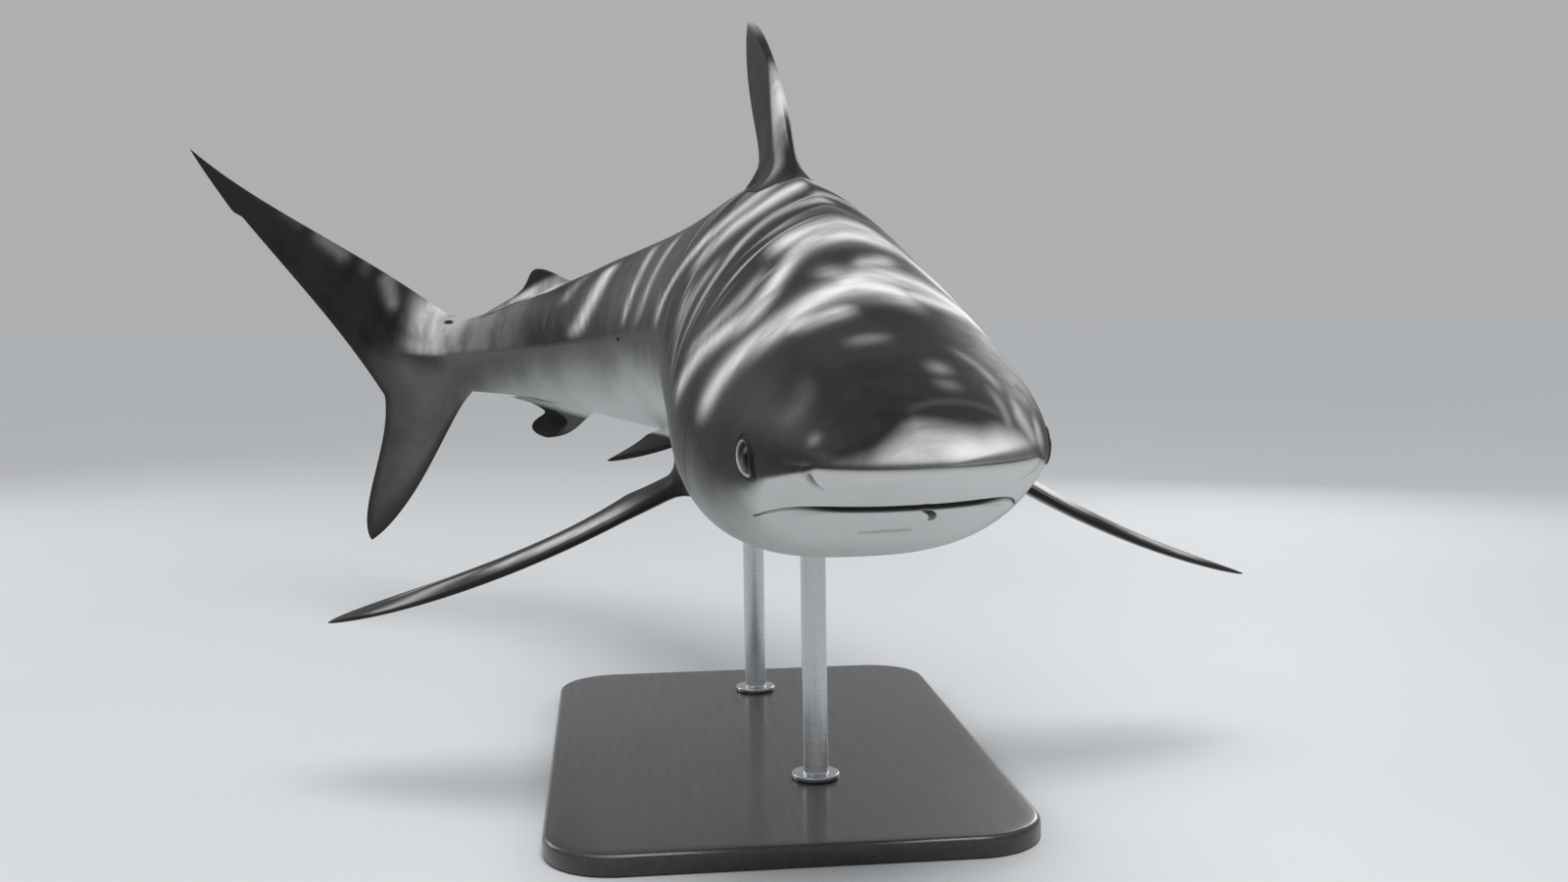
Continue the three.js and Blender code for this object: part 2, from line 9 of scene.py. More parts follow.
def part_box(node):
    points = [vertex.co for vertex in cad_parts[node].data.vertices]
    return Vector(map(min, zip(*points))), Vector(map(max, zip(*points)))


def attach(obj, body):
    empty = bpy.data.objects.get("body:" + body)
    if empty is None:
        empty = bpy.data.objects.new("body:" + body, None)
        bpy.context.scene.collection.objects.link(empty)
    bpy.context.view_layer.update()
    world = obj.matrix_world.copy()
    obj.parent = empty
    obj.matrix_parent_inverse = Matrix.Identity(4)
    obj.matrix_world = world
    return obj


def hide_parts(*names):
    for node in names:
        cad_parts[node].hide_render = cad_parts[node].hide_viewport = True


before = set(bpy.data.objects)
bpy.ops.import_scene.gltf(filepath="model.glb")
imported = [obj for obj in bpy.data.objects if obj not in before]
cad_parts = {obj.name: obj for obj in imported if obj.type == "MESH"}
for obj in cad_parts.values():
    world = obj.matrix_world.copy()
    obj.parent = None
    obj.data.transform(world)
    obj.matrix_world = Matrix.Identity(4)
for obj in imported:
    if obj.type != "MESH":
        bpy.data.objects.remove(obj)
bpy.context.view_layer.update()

# ---- sizes, as in the source
TOTAL_LENGTH = 2.0
PCT = TOTAL_LENGTH / 100               # one percent of it, in metres
SNOUT = np.array([0.030, -0.678, 0.345])
BODY = [
    # at, half width, top, bottom, widest level, leanness of the back, of the belly
    (0, 0, 0, 0, 0, 1, 1),
    (1, 2.0, 1.0, -0.5, 0, 1, 0.85),
    (4, 3.65, 2.3, -1.15, -0.1, 1, 0.75),
    (8, 4.75, 3.45, -2.5, -0.5, 1, 0.72),
    (12, 5.5, 4.45, -4.25, -1.3, 1.08, 0.72),
    (17, 6.05, 5.6, -5.75, -2.1, 1.22, 0.74),
    (23, 6.25, 6.65, -6.3, -2.3, 1.34, 0.78),
    (30, 6.1, 7.5, -6.6, -2.0, 1.38, 0.85),
    (37, 5.8, 7.7, -6.7, -1.6, 1.32, 0.92),
    (45, 5.0, 6.95, -6.5, -1.2, 1.2, 0.95),
    (53, 3.95, 5.8, -5.95, -0.9, 1.12, 0.97),
    (61, 2.95, 4.4, -4.65, -0.4, 1.05, 1),
    (68, 2.0, 2.95, -2.95, 0, 1, 1),
    (72, 1.6, 2.3, -2.3, 0, 1, 1),
]
TAIL_START = 72                        # station where the tail fin's net begins
# The turn in degrees from head to tail, the station where half of it is made and how far it is
# spread, the snout's small turn back and the station where that ends. Then the degrees by which
# the axis climbs toward the tail, and by which the body leans to its right, at some stations.
TAIL_TURN = 66
TURN_CENTRE = 55.2
TURN_SOFTNESS = 6.6
HEAD_TURN = -2
HEAD_TURN_END = 12
PITCH = [(0, -2), (20, 6.5), (45, 0), (65, -5), (100, 0)]
ROLL = [(0, 2), (35, 0), (60, 0), (78, -4)]
MOUTH = dict(front=5.8, corner=10.05, half_width=4.25, squareness=4)
EYE = dict(s=7.65, side=4.28, up=-0.3, long=0.68, high=0.56, deep=0.48)
EYE_OPENING = (0.61, 0.5)              # half length and half height between the lids
EYE_SLANT = 0.25                       # how far the opening leans backward, per height
EYE_ROOM = 0.985                       # the eyeball's share of the solid that it replaces
GILLS = dict(first=17.2, step=1.35, count=5, up=-1.6, rise=0.12, height=3.4, shrink=0.09)
NOSTRIL = [(3.1, 3.19, -0.3), (3.8, 2.83, -0.78)]
PIT = (72.9, 0, 2.2)                   # the hollow on the back, just ahead of the tail fin
PIT_SHAPE = (1, 1.2, 1)
SIDES = (1, -1)                        # the shark's right and left

# The skin's net: rows from the snout to the tail stem and on over the tail fin, and columns
# round the body from the belly up the right side to the back and down the left side.
BODY_ROWS = 240
TAIL_ROWS = 48
TAIL = -1                              # the tail fin's number among the skin's facts
COLUMNS = 144
ROOT_STEP = math.sqrt(TAIL_START) / BODY_ROWS
HEAD_END = 14                          # station up to which every cell is halved once
FINEST = 4        # how often a cell may be halved for fine detail
TINY = 1e-9


# ---- curves and blending
def mix(a, b, t):
    return a + (b - a) * t


def smooth(low, high, x):
    """0 below low, 1 above high, and a smooth step between them."""
    t = np.clip((x - low) / (high - low), 0, 1)
    return t * t * (3 - 2 * t)


def bump(x, width):
    """1 where x is 0, falling away to both sides over this width."""
    return np.exp(-((x / width) ** 2))


def smooth_curve(xs, ys):
    """Smooth curve through the points (natural cubic spline), held at its ends."""
    xs, ys = np.asarray(xs, float), np.asarray(ys, float)
    n, h = len(xs), np.diff(xs)
    system, jump = np.eye(n), np.zeros(n)
    for i in range(1, n - 1):
        system[i, i - 1 : i + 2] = h[i - 1], 2 * (h[i - 1] + h[i]), h[i]
        jump[i] = 6 * ((ys[i + 1] - ys[i]) / h[i] - (ys[i] - ys[i - 1]) / h[i - 1])
    second = np.linalg.solve(system, jump)

    def at(x):
        x = np.clip(np.asarray(x, float), xs[0], xs[-1])
        k = np.clip(np.searchsorted(xs, x, side="right") - 1, 0, n - 2)
        a, b, w = xs[k + 1] - x, x - xs[k], h[k]
        return (
            (second[k] * a**3 + second[k + 1] * b**3) / (6 * w)
            + (ys[k] / w - second[k] * w / 6) * a
            + (ys[k + 1] / w - second[k + 1] * w / 6) * b
        )

    return at


def bezier(points, t):
    """Points at t, an array, on the Bezier curve with these control points."""
    level = [np.asarray(p, float) for p in points]
    t = np.asarray(t, float)[..., None]
    while len(level) > 1:
        level = [mix(a, b, t) for a, b in zip(level, level[1:])]
    return level[0]


def curve(points, count):
    """The same curve as a line of this many points."""
    return bezier(points, np.linspace(0, 1, count))


# ---- body form
# The outline runs over the square root of s, which makes the nose round.
ROOTS = [math.sqrt(row[0]) for row in BODY]
HALF, TOP, BOTTOM, LEVEL, BACK, BELLY = [
    smooth_curve(ROOTS, [row[i] for row in BODY]) for i in range(1, 7)
]


def section(s, above):
    """Half width, height and leanness of the body's upper or lower half at s."""
    u = np.sqrt(np.maximum(s, 0))
    tall = np.where(above, TOP(u) - LEVEL(u), LEVEL(u) - BOTTOM(u))
    return HALF(u), LEVEL(u), tall, np.where(above, BACK(u), BELLY(u))


def section_at(s, up):
    """The same for the half that this height lies in, with no size quite 0."""
    half, level, tall, power = section(s, up >= LEVEL(np.sqrt(np.maximum(s, 0))))
    return np.maximum(half, TINY), level, np.maximum(tall, TINY), power


def skin(s, angle):
    """Point of the body's skin at station s and this angle round the body."""
    c, q = np.cos(angle), np.sin(angle)
    half, level, tall, power = section(s, q >= 0)
    return np.stack([s + 0 * c, half * np.sign(c) * np.abs(c) ** power, level + tall * q], -1)


def outside(p):
    """Below 0 inside the body, above 0 outside it."""
    s, side, up = p[..., 0], p[..., 1], p[..., 2]
    half, level, tall, power = section_at(s, up)
    return (np.abs(side) / half) ** (2 / power) + ((up - level) / tall) ** 2 - 1


def angle_of(p):
    """Angle round the body of a point close to its skin."""
    s, side, up = p[..., 0], p[..., 1], p[..., 2]
    half, level, tall, power = section_at(s, up)
    c = np.sign(side) * (np.abs(side) / half) ** (1 / power)
    return np.arctan2((up - level) / tall, c)


def on_skin(p):
    """The point of the skin beside this point."""
    return skin(p[..., 0], angle_of(p))


def side_at(s, up):
    """Half width of the body at this height."""
    half, level, tall, power = section_at(s, up)
    return half * (1 - np.clip((up - level) / tall, -1, 1) ** 2) ** (power / 2)


def belly_at(s, side):
    """Height of the underside at this distance from the middle plane."""
    half, level, tall, power = section(s, False)
    c = np.clip(np.abs(side) / half, 0, 1) ** (1 / power)
    return level - tall * np.sqrt(1 - c * c)


def top_at(s):
    return float(TOP(math.sqrt(s)))


def bottom_at(s):
    return float(BOTTOM(math.sqrt(s)))


# ---- pose
def make_axis(step=0.25, end=110):
    """The body's axis: stations, places, and the back, right and up directions there."""
    s = np.arange(0, end + step / 2, step)
    turn = TAIL_TURN / (1 + np.exp((TURN_CENTRE - s) / TURN_SOFTNESS))
    turn = np.radians(turn + HEAD_TURN * np.clip(1 - s / HEAD_TURN_END, 0, 1))
    pitch = np.radians(smooth_curve(*zip(*PITCH))(s))
    roll = np.radians(smooth_curve(*zip(*ROLL))(s))[:, None]
    back = np.stack([-np.sin(turn) * np.cos(pitch), np.cos(turn) * np.cos(pitch), np.sin(pitch)], 1)
    flat = np.cross([0, 0, 1.0], back)
    flat /= np.linalg.norm(flat, axis=1)[:, None]
    tall = np.cross(back, flat)
    place = np.zeros_like(back)
    place[1:] = np.cumsum((back[1:] + back[:-1]) / 2 * step, 0)
    right = flat * np.cos(roll) - tall * np.sin(roll)
    up = tall * np.cos(roll) + flat * np.sin(roll)
    return s, place, back, right, up


AXIS = make_axis()


def bend(p):
    """From the straight animal, in percent, to the posed one, in metres."""
    s, side, up = p[..., 0], p[..., 1], p[..., 2]

    def along(field):
        return np.stack([np.interp(s, AXIS[0], field[:, i]) for i in range(3)], -1)

    place = along(AXIS[1]) + side[..., None] * along(AXIS[3]) + up[..., None] * along(AXIS[4])
    return SNOUT + (place + np.minimum(s, 0)[..., None] * AXIS[2][0]) * PCT


# ---- tail fin
# Its plan as stations and heights: the tips, the fork, and the control points of the edges. The
# stem's half width and half height, the fork's share of the hind edge, and the small lobe at the
# upper tip: where on the hind edge it starts, how far it stands out, and how long its notch is.
UPPER_TIP = (93.7, 15.9)
LOWER_TIP = (80.2, -11.6)
FORK = (78.5, -2.1)
STEM_HALF = 1.6
STEM_TALL = 2.3
UPPER_LEADING = [(TAIL_START, 2.3), (73.6, 2.4), (77, 6.8), (86.4, 10.4), UPPER_TIP]
LOWER_LEADING = [(TAIL_START, -2.3), (74.1, -4.6), (75.3, -7.0), (77.8, -10.4), LOWER_TIP]
LOWER_HIND = [LOWER_TIP, (81.3, -10.1), (79.2, -6.4), (78.4, -4.4), FORK]
UPPER_HIND = [FORK, (82.8, 4.6), (88.7, 9.8), UPPER_TIP]
FORK_SHARE = 0.4
TIP_LOBE = dict(share=0.84, reach=0.22, notch=0.012)


def tail_hind(v):
    """Hind edge of the tail fin, v from 0 at the lower tip to 1 at the upper tip."""
    low = bezier(LOWER_HIND, np.clip(v / FORK_SHARE, 0, 1))
    high = bezier(UPPER_HIND, np.clip((v - FORK_SHARE) / (1 - FORK_SHARE), 0, 1))
    return np.where(v[..., None] < FORK_SHARE, low, high)


def tip_lobe(k, v):
    """How far the lobe at the upper tip stands out behind the notch in the hind edge."""
    share, reach, notch = TIP_LOBE.values()
    out = reach * smooth(share - notch, share + notch, v) * (1 - v) / (1 - share) * k**8
    return np.stack([out, -out], -1)


def tail_share(t, angle):
    """Shares of the tail fin: from the stem to the hind edge, and from below to above."""
    return t**1.15, 0.5 + np.arcsin(np.clip(np.sin(angle), -1, 1)) / np.pi


def tail_surface(t, angle):
    """The tail fin's skin, t from 0 at the stem to 1 at the hind edge."""
    k, v = tail_share(t, angle)
    stem = np.stack([TAIL_START + 0 * t, STEM_TALL * np.sin(angle)], -1)

    def pull(leading, share):
        straight = mix(np.array(leading[0], float), np.array(leading[-1], float), k[..., None])
        return (bezier(leading, k) - straight) * share[..., None]

    edges = pull(UPPER_LEADING, v**5) + pull(LOWER_LEADING, (1 - v) ** 5)
    plan = mix(stem, tail_hind(v), k[..., None]) + edges * np.clip(t * 6, 0, 1)[..., None]
    plan += tip_lobe(k, v)
    narrow = np.abs(np.cos(angle))
    half = STEM_HALF * narrow * (1 - k) ** 2.4 + 0.22 * narrow**0.6 * (1 - k) * k**0.4
    half += 0.035 * np.clip(t * 4, 0, 1) * smooth(0, 0.05, narrow)
    return np.stack([plan[..., 0], half * np.sign(np.cos(angle)), plan[..., 1]], -1)


# ---- lines on the head and gills
BESIDE, FAR = 2.5, 9.0                 # how far round a line its distance counts, and what the
                                       # points beyond that get instead
AT_ONCE = 4000                         # points measured in one go, to spare memory


def mouth_line():
    """The closed mouth, from one corner to the other, on the head's underside."""
    t = np.linspace(-1, 1, 241)
    s = mix(MOUTH["front"], MOUTH["corner"], np.abs(t) ** MOUTH["squareness"])
    side = t * MOUTH["half_width"]
    return np.stack([s, side, belly_at(s, side)], -1)


def nostril_line(sign):
    """One nostril: a short slanting slit at the edge of the snout's underside."""
    a, b = np.array(NOSTRIL[0]), np.array(NOSTRIL[1])
    t = np.linspace(0, 1, 25)[:, None]
    return on_skin(mix(a, b, t) * [1, sign, 1])


def gill_line(sign, i):
    """One gill slit, from its lower to its upper end."""
    t = np.linspace(-1, 1, 41)
    up = GILLS["up"] + GILLS["rise"] * i + t * GILLS["height"] * (1 - GILLS["shrink"] * i) / 2
    s = GILLS["first"] + GILLS["step"] * i + 0.28 * t + 0.18 * (t * t - 0.4)
    return np.stack([s, sign * side_at(s, up), up], -1)


def near(points, line):
    """Distance of each point from the line, and the place on the line from 0 to 1. Points
    farther off than BESIDE only get FAR."""
    gap, place = np.full(len(points), FAR), np.zeros(len(points))
    low, high = line.min(0) - BESIDE, line.max(0) + BESIDE
    close = np.flatnonzero(((points > low) & (points < high)).all(1))
    for part in np.array_split(close, max(1, len(close) // AT_ONCE)):
        far = np.linalg.norm(points[part, None] - line[None], axis=2)
        gap[part] = far.min(1)
        place[part] = far.argmin(1) / (len(line) - 1)
    return gap, place


def seen_gap(points, course):
    """The same for a curve drawn on the side view, by stations and heights."""
    return near(points[:, [0, 2]], curve(course, 60))


def scar_gap(points, course):
    """The same for a cut on the lower lip, measured in the cuts' own shape."""
    return near(points * SCAR_SHAPE, curve(course, 40) * SCAR_SHAPE)


def spot_gap(points, place):
    """Distance of each point from a spot's centre, measured in the spots' own shape."""
    return np.linalg.norm((points - place) * SPOT_SHAPE, axis=1)


def eye_radius(points, sign):
    """Distance from the eye's centre, 1 at the edge of its opening."""
    up = points[:, 2] - EYE["up"]
    along = points[:, 0] - EYE["s"] - EYE_SLANT * up
    away = np.hypot(along / EYE_OPENING[0], up / EYE_OPENING[1])
    return np.where(points[:, 1] * sign > 3, away, FAR)


def pit_distance(points):
    return np.linalg.norm((points - np.array(PIT)) / PIT_SHAPE, axis=1)


MOUTH_LINE = mouth_line()
NOSTRILS = {sign: nostril_line(sign) for sign in SIDES}
GILL_LINES = [gill_line(sign, i) for sign in SIDES for i in range(GILLS["count"])]
# The edge of the stem's muscle, which runs on into the tail's upper lobe, and the painted sheen below
# it.
STEM_RIDGE = [(73, -0.3), (76.5, -0.1), (79, 2.2), (83.5, 6.4)]
STEM_SHEEN = [(74.5, -2), (77.5, -0.5), (79.5, 2.3), (84, 5.6)]
# The two spots at the pit's ends are painted shade in its hollow.
SPOTS = [
    ((55.0, 3.68, -0.17), 0.19),       # a small dark spot low on the right flank
    ((72.65, 0.82, 2.25), 0.27),       # and the dark ends of the pit ahead of the tail fin
    ((72.65, -0.82, 2.25), 0.27),
]
SPOT_SHAPE = (0.55, 1, 1)              # longer along the body than it is tall
# Old cuts on the lower lip: strength, half width and course.
SCARS = [
    (1.0, 0.21, [(6.0, -0.5, -1.75), (7.0, -0.5, -2.0), (7.2, -1.1, -2.2), (8.1, -1.1, -2.5)]),
    (0.3, 0.2, [(9.45, 0.9, -3.1), (9.4, 0.2, -3.13), (9.3, -0.6, -3.08)]),
]
SCAR_SHAPE = (0.6, 1.4, 1)             # narrow across, long down the lip


def wanted_level(points, rows):
    """How often the net's cells are halved here, for the detail that lies there."""
    level = np.where((points[:, 0] < HEAD_END) | (rows > BODY_ROWS - 6), 1, 0)

    def ask(distance, *steps):
        """Asks for a depth of halving within each reach of the detail."""
        for reach, depth in steps:
            level[distance < reach] = np.maximum(level[distance < reach], depth)

    ask(near(points, MOUTH_LINE)[0], (0.16, 4), (0.4, 3), (1.1, 2))
    for sign in SIDES:
        ask(near(points, NOSTRILS[sign])[0], (0.2, 4), (0.4, 3), (0.8, 2))
        ask(np.abs(eye_radius(points, sign) - 0.95), (0.3, 4))
        ask(eye_radius(points, sign), (1.6, 3), (2.4, 2))
    for line in GILL_LINES:
        ask(near(points, line)[0], (0.2, 3), (0.45, 2), (1.0, 1))
    ask(pit_distance(points), (0.8, 2))
    for _, _, course in SCARS:
        ask(scar_gap(points, course)[0], (0.45, 4), (0.8, 3))
    for place, _ in SPOTS:
        ask(spot_gap(points, place), (0.5, 4), (0.9, 3), (1.6, 2))
    return np.minimum(level, FINEST)


# ---- the skin net
class Net:
    """Points in percent of the length, with what is known of each, and the faces on them."""

    def __init__(self):
        self.points = []
        self.facts = []
        self.faces = []
        self.count = 0

    def add(self, points, fin=0, share=0, chord=0, face=0):
        """Adds points and returns their numbers. The facts are the fin that they lie on, their
        share of its span, their share of its chord, and which of its faces they are on."""
        n = len(points)
        self.points.append(np.asarray(points, float))
        self.facts.append(np.stack([np.broadcast_to(x, n) for x in (fin, share, chord, face)], 1))
        self.count += n
        return np.arange(self.count - n, self.count)

    def close(self, corners):
        """Adds one face, without the corners that fall together."""
        self.faces.append(list(dict.fromkeys(corners)))


def net_turn(rows, columns):
    """How far along the tail fin these rows lie, and the columns' angle round the body."""
    return np.clip((rows - BODY_ROWS) / TAIL_ROWS, 0, 1), (columns / COLUMNS - 0.25) * 2 * np.pi


def net_point(rows, columns):
    """The skin at these rows and columns of the net."""
    t, angle = net_turn(rows, columns)
    s = (np.minimum(rows, BODY_ROWS) * ROOT_STEP) ** 2
    return np.where((rows > BODY_ROWS)[:, None], tail_surface(t, angle), skin(s, angle))


def net_cells(holes):
    """Cells of the net as (row, column, size), in the finest cell's units."""
    unit = size = 2**FINEST
    cells = np.argwhere(~holes) * unit
    done = []
    for level in range(FINEST + 1):
        row, column = (cells + size / 2).T / unit
        deeper = wanted_level(net_point(row, column), row) > level
        done.append(np.insert(cells[~deeper], 2, size, axis=1))
        size //= 2
        cells = np.concatenate([cells[deeper] + [a * size, b * size] for a in (0, 1) for b in (0, 1)])
        if not len(cells):
            break
    return np.concatenate(done)


def weave_body(net, holes):
    """Adds the body and the tail fin to the net, without the cells in holes."""
    unit = 2**FINEST
    around = COLUMNS * unit
    cells = net_cells(holes)
    row, column, size = cells.T

    def code(r, c):
        """One number for a place on the net; the whole first row is the snout's tip."""
        return np.where(r == 0, 0, r * around + c % around)

    def four(*places):
        """Four places on each cell, by the rows and columns to go from its first corner."""
        return np.stack([code(row + r, column + c) for r, c in places], 1)

    corners = four((0, 0), (0, size), (size, size), (size, 0))
    codes = np.unique(corners)
    rows, columns = codes // around / unit, codes % around / unit
    k, v = tail_share(*net_turn(rows, columns))
    ids = net.add(net_point(rows, columns), fin=np.where(rows > BODY_ROWS, TAIL, 0), share=k, chord=v)
    known = dict(zip(codes.tolist(), ids.tolist()))
    half = size // 2
    middles = four((0, half), (half, size), (size, half), (half, 0))
    split = (np.isin(middles, codes) & (size > 1)[:, None]).any(1) | (row == 0)
    net.faces.extend(ids[np.searchsorted(codes, corners[~split])].tolist())

    def edge(r0, c0, r1, c1):
        """Known points from one corner to just before the next."""
        steps = abs(r1 - r0) + abs(c1 - c0)
        step = np.arange(steps)
        passed = code(r0 + (r1 - r0) * step // steps, c0 + (c1 - c0) * step // steps)
        return [known[x] for x in passed.tolist() if x in known]

    for r, c, z in cells[split].tolist():
        ring = [(r, c), (r, c + z), (r + z, c + z), (r + z, c), (r, c)]
        net.close(x for a, b in zip(ring, ring[1:]) for x in edge(*a, *b))

    # The tail's hind edge: its right side is joined to its left side.
    last_row = (BODY_ROWS + TAIL_ROWS) * unit
    hind = {x % around: known[x] for x in codes.tolist() if x // around == last_row}
    right = sorted(c for c in hind if c <= around // 2)
    for a, b in zip(right, right[1:]):
        net.close([hind[a], hind[b], hind[(around - b) % around], hind[(around - a) % around]])


def open_loops(faces, points):
    """The rims of the net's holes, each as a loop of point numbers, as new faces run on it."""
    start = np.concatenate(faces)
    end = np.concatenate([f[1:] + f[:1] for f in faces])
    there, back = start * points + end, end * points + start
    alone = ~np.isin(there, back)
    follow = dict(zip(end[alone].tolist(), start[alone].tolist()))
    loops = []
    while follow:
        first = next(iter(follow))
        loop, at = [first], follow.pop(first)
        while at != first:
            loop.append(at)
            at = follow.pop(at)
        loops.append(loop)
    return loops


def zip_loops(net, outer, inner, where):
    """Joins two loops that run the same way by a strip of triangles."""
    a, b = np.array(outer), np.array(inner)
    b = np.roll(b, -int(np.linalg.norm(where[b] - where[a[0]], axis=1).argmin()))
    i = j = 0
    while i < len(a) or j < len(b):
        a0, a1 = a[i % len(a)], a[(i + 1) % len(a)]
        b0, b1 = b[j % len(b)], b[(j + 1) % len(b)]
        take_a = np.linalg.norm(where[a1] - where[b0]) < np.linalg.norm(where[a0] - where[b1])
        if j >= len(b) or (i < len(a) and take_a):
            net.faces.append([int(a0), int(a1), int(b0)])
            i += 1
        else:
            net.faces.append([int(a0), int(b1), int(b0)])
            j += 1


# ---- fins
EDGE_ROUND = 0.012                     # share of the chord over which a fin's edges are round


def foil(c):
    """Thickness of a fin section along its chord, 0 at both edges."""
    return 2 * np.sqrt(c) * (1 - c) * (1 - 0.35 * c)


def edge_round(c):
    """1 along the chord, rounded down to 0 at both edges."""
    return np.sqrt(np.clip(np.minimum(c, 1 - c) / EDGE_ROUND, 0, 1))


def middle_plane(flap_start=200, lean=0):
    """Plane of a fin on the back or belly. lean bends its rear flap to the right."""

    def plane(along, out, off):
        return np.stack([along, off + lean * np.maximum(0, along - flap_start) ** 1.5, out], -1)

    return plane


def paired_plane(sign, root_side, root_up, span_side, span_up, incidence, twist, sweep, root_at,
                 bow=0):
    """Plane of a paired fin: its root, the direction of its span, its tilt and its twist."""
    length = math.hypot(span_side, span_up)
    e = span_side / length, span_up / length

    def plane(along, out, off):
        behind = along - root_at - sweep * out / length
        reach = np.clip(out / length, 0, 1)
        tilt = np.tan(np.radians(incidence + twist * reach))
        lift = off + bow * np.sin(np.pi * reach)
        side = sign * (root_side + out * e[0] - lift * e[1])
        return np.stack([along, side, root_up + out * e[1] + lift * e[0] - tilt * behind], -1)

    return plane


# Each fin's outline is drawn by places along the body and out from it: the control points of its
# leading edge, of the inner edge of its rear flap and of its hind edge, and the share of the span
# at which the flap ends. Then its thickness at the root and the tip, the thickness of its edges,
# the reach of the fillet at its root, and its points along the chord and the span.
def first_dorsal():
    origin, apex = 32.6, (43.1, 15.8)
    flap = (44.9, top_at(44.9) + 0.25)
    return dict(
        leading=[(origin - 0.5, top_at(origin) - 1), (origin + 2, top_at(origin) + 3),
                 (origin + 7.8, apex[1] - 0.7), apex],
        inner=[(41.6, top_at(42.3) - 1), (42.5, top_at(42.7) + 0.1), flap],
        hind=[flap, (39.5, top_at(39.5) + 0.6), (40, top_at(40) + 1.8), (44.9, 10.2),
              (43.9, 16), apex],
        split=0.22, thick=1.65, thick_tip=0.35, edge=0.07, fillet=1.1, chords=44, spans=34,
        plane=middle_plane(),
    )


def second_dorsal():
    apex = (66, top_at(66) + 1.65)
    flap = (70.3, top_at(70.3) - 0.3)
    return dict(
        leading=[(62.8, top_at(62.8) - 0.3), (64, top_at(64) + 0.2), (64.9, apex[1] - 0.1), apex],
        inner=[(66, top_at(66) - 0.4), (68, top_at(68) + 0.25), flap],
        hind=[flap, (69.5, top_at(69.5) - 0.1), (68.5, apex[1] - 1.3), (66.2, apex[1] - 2.1),
              (67.3, apex[1] + 0.1), apex],
        split=0.3, thick=0.8, thick_tip=0.2, edge=0.06, fillet=0.4, chords=26, spans=24,
        plane=middle_plane(66.3, 0.12),
    )


def anal():
    apex = (66.4, bottom_at(66.4) - 2.4)
    flap = (69, bottom_at(69) - 0.12)
    return dict(
        leading=[(61.6, bottom_at(61.6) + 0.5), (63.7, bottom_at(63.7) - 0.6),
                 (63.8, apex[1] - 0.1), apex],
        inner=[(65.8, bottom_at(65.8) + 0.4), (67.2, bottom_at(67.4) + 0.05), flap],
        hind=[flap, (67.4, apex[1] + 2.7), (64.9, apex[1] + 0.5), (65.6, apex[1] + 2.4),
              (69.6, apex[1] + 0.9), apex],
        split=0.35, thick=0.9, thick_tip=0.25, edge=0.06, fillet=0.45, chords=26, spans=24,
        plane=middle_plane(),
    )


# How each pectoral fin is held in the turn: its root's height, how far its apex droops, the
# tilt at its root with the twist out to its apex, and how far it is bowed. Both reach equally
# far out and back.
SPAN, SWEEP = 15.55, 8
HELD = {
    1: dict(root_up=-3.85, droop=7.7, incidence=8.9, twist=-7.8, bow=-0.6),
    -1: dict(root_up=-2.9, droop=7.95, incidence=3.5, twist=0, bow=-0.6),
}


def from_root(root_at, *pairs):
    """Outline points from pairs of distances: out from the root, and back from it."""
    return [(root_at + back, out) for out, back in pairs]


def pectoral(sign):
    root_up, droop, incidence, twist, bow = HELD[sign].values()
    root_at, length = 21.9, math.hypot(SPAN, droop)
    apex, flap = (length, SWEEP), (2.6, 8.6)
    return dict(
        leading=from_root(root_at, (-2, -0.4), (5.5, 2.5), (12.5, 2.9), apex),
        inner=from_root(root_at, (-2, 5.4), (0.5, 5.6), flap),
        hind=from_root(root_at, flap, (4.6, 4.5), (10, 8), (14.5, 8.8), (length - 0.2, SWEEP + 1),
                       apex),
        split=0.25, thick=1.3, thick_tip=0.1, edge=0.07, fillet=0.9, chords=40, spans=44,
        plane=paired_plane(sign, 5.38, root_up, SPAN, -droop, incidence, twist, SWEEP, root_at,
                           bow),
    )


def pelvic(sign):
    root_at = 49.5
    apex, flap = (3.5, 5.3), (0.6, 5.1)
    return dict(
        leading=from_root(root_at, (-1, -1.4), (1.7, -0.8), (2.5, 2.2), apex),
        inner=from_root(root_at, (-1, 4), (-0.2, 4.3), flap),
        hind=from_root(root_at, flap, (1, 4.9), (2, 4.7), (3.1, 5.2), (3.6, 5.7), apex),
        split=0.35, thick=0.95, thick_tip=0.25, edge=0.06, fillet=0.4, chords=28, spans=24,
        plane=paired_plane(sign, 1.8, -5.7, 2.0, -1.0, -2, 0, 0, root_at),
    )


FINS = {
    "dorsal_fin_first": first_dorsal(),
    "dorsal_fin_second": second_dorsal(),
    "anal_fin": anal(),
    "pectoral_fin_right": pectoral(1),
    "pectoral_fin_left": pectoral(-1),
    "pelvic_fin_right": pelvic(1),
    "pelvic_fin_left": pelvic(-1),
}
FIN_END = 0.992                        # share of the span where the tip closes
FIN_TAPER = 16                         # how late along the span a fin thins out to its tip
FILLET_RINGS = 7                       # rings of points from a fillet's foot up to the fin
HOLE_GAP = 0.12                        # room between a fillet's foot and the cells cut out


def fin_point(fin, k, c, face):
    """The fin's skin: share k of its span, share c of its chord, face 1, 0 or -1."""
    front = bezier(fin["leading"], k)
    split = fin["split"]
    low = bezier(fin["inner"], np.clip(k / split, 0, 1))
    high = bezier(fin["hind"], np.sin(np.clip((k - split) / (1 - split), 0, 1) * np.pi / 2))
    edge = mix(front, np.where((k < split)[..., None], low, high), c[..., None])
    half = (mix(fin["thick"], fin["thick_tip"], k) * foil(c) + fin["edge"] * edge_round(c)) / 2
    half = half * np.sqrt(1 - np.clip(k, 0, 1) ** FIN_TAPER)
    return fin["plane"](edge[..., 0], edge[..., 1], half * face)


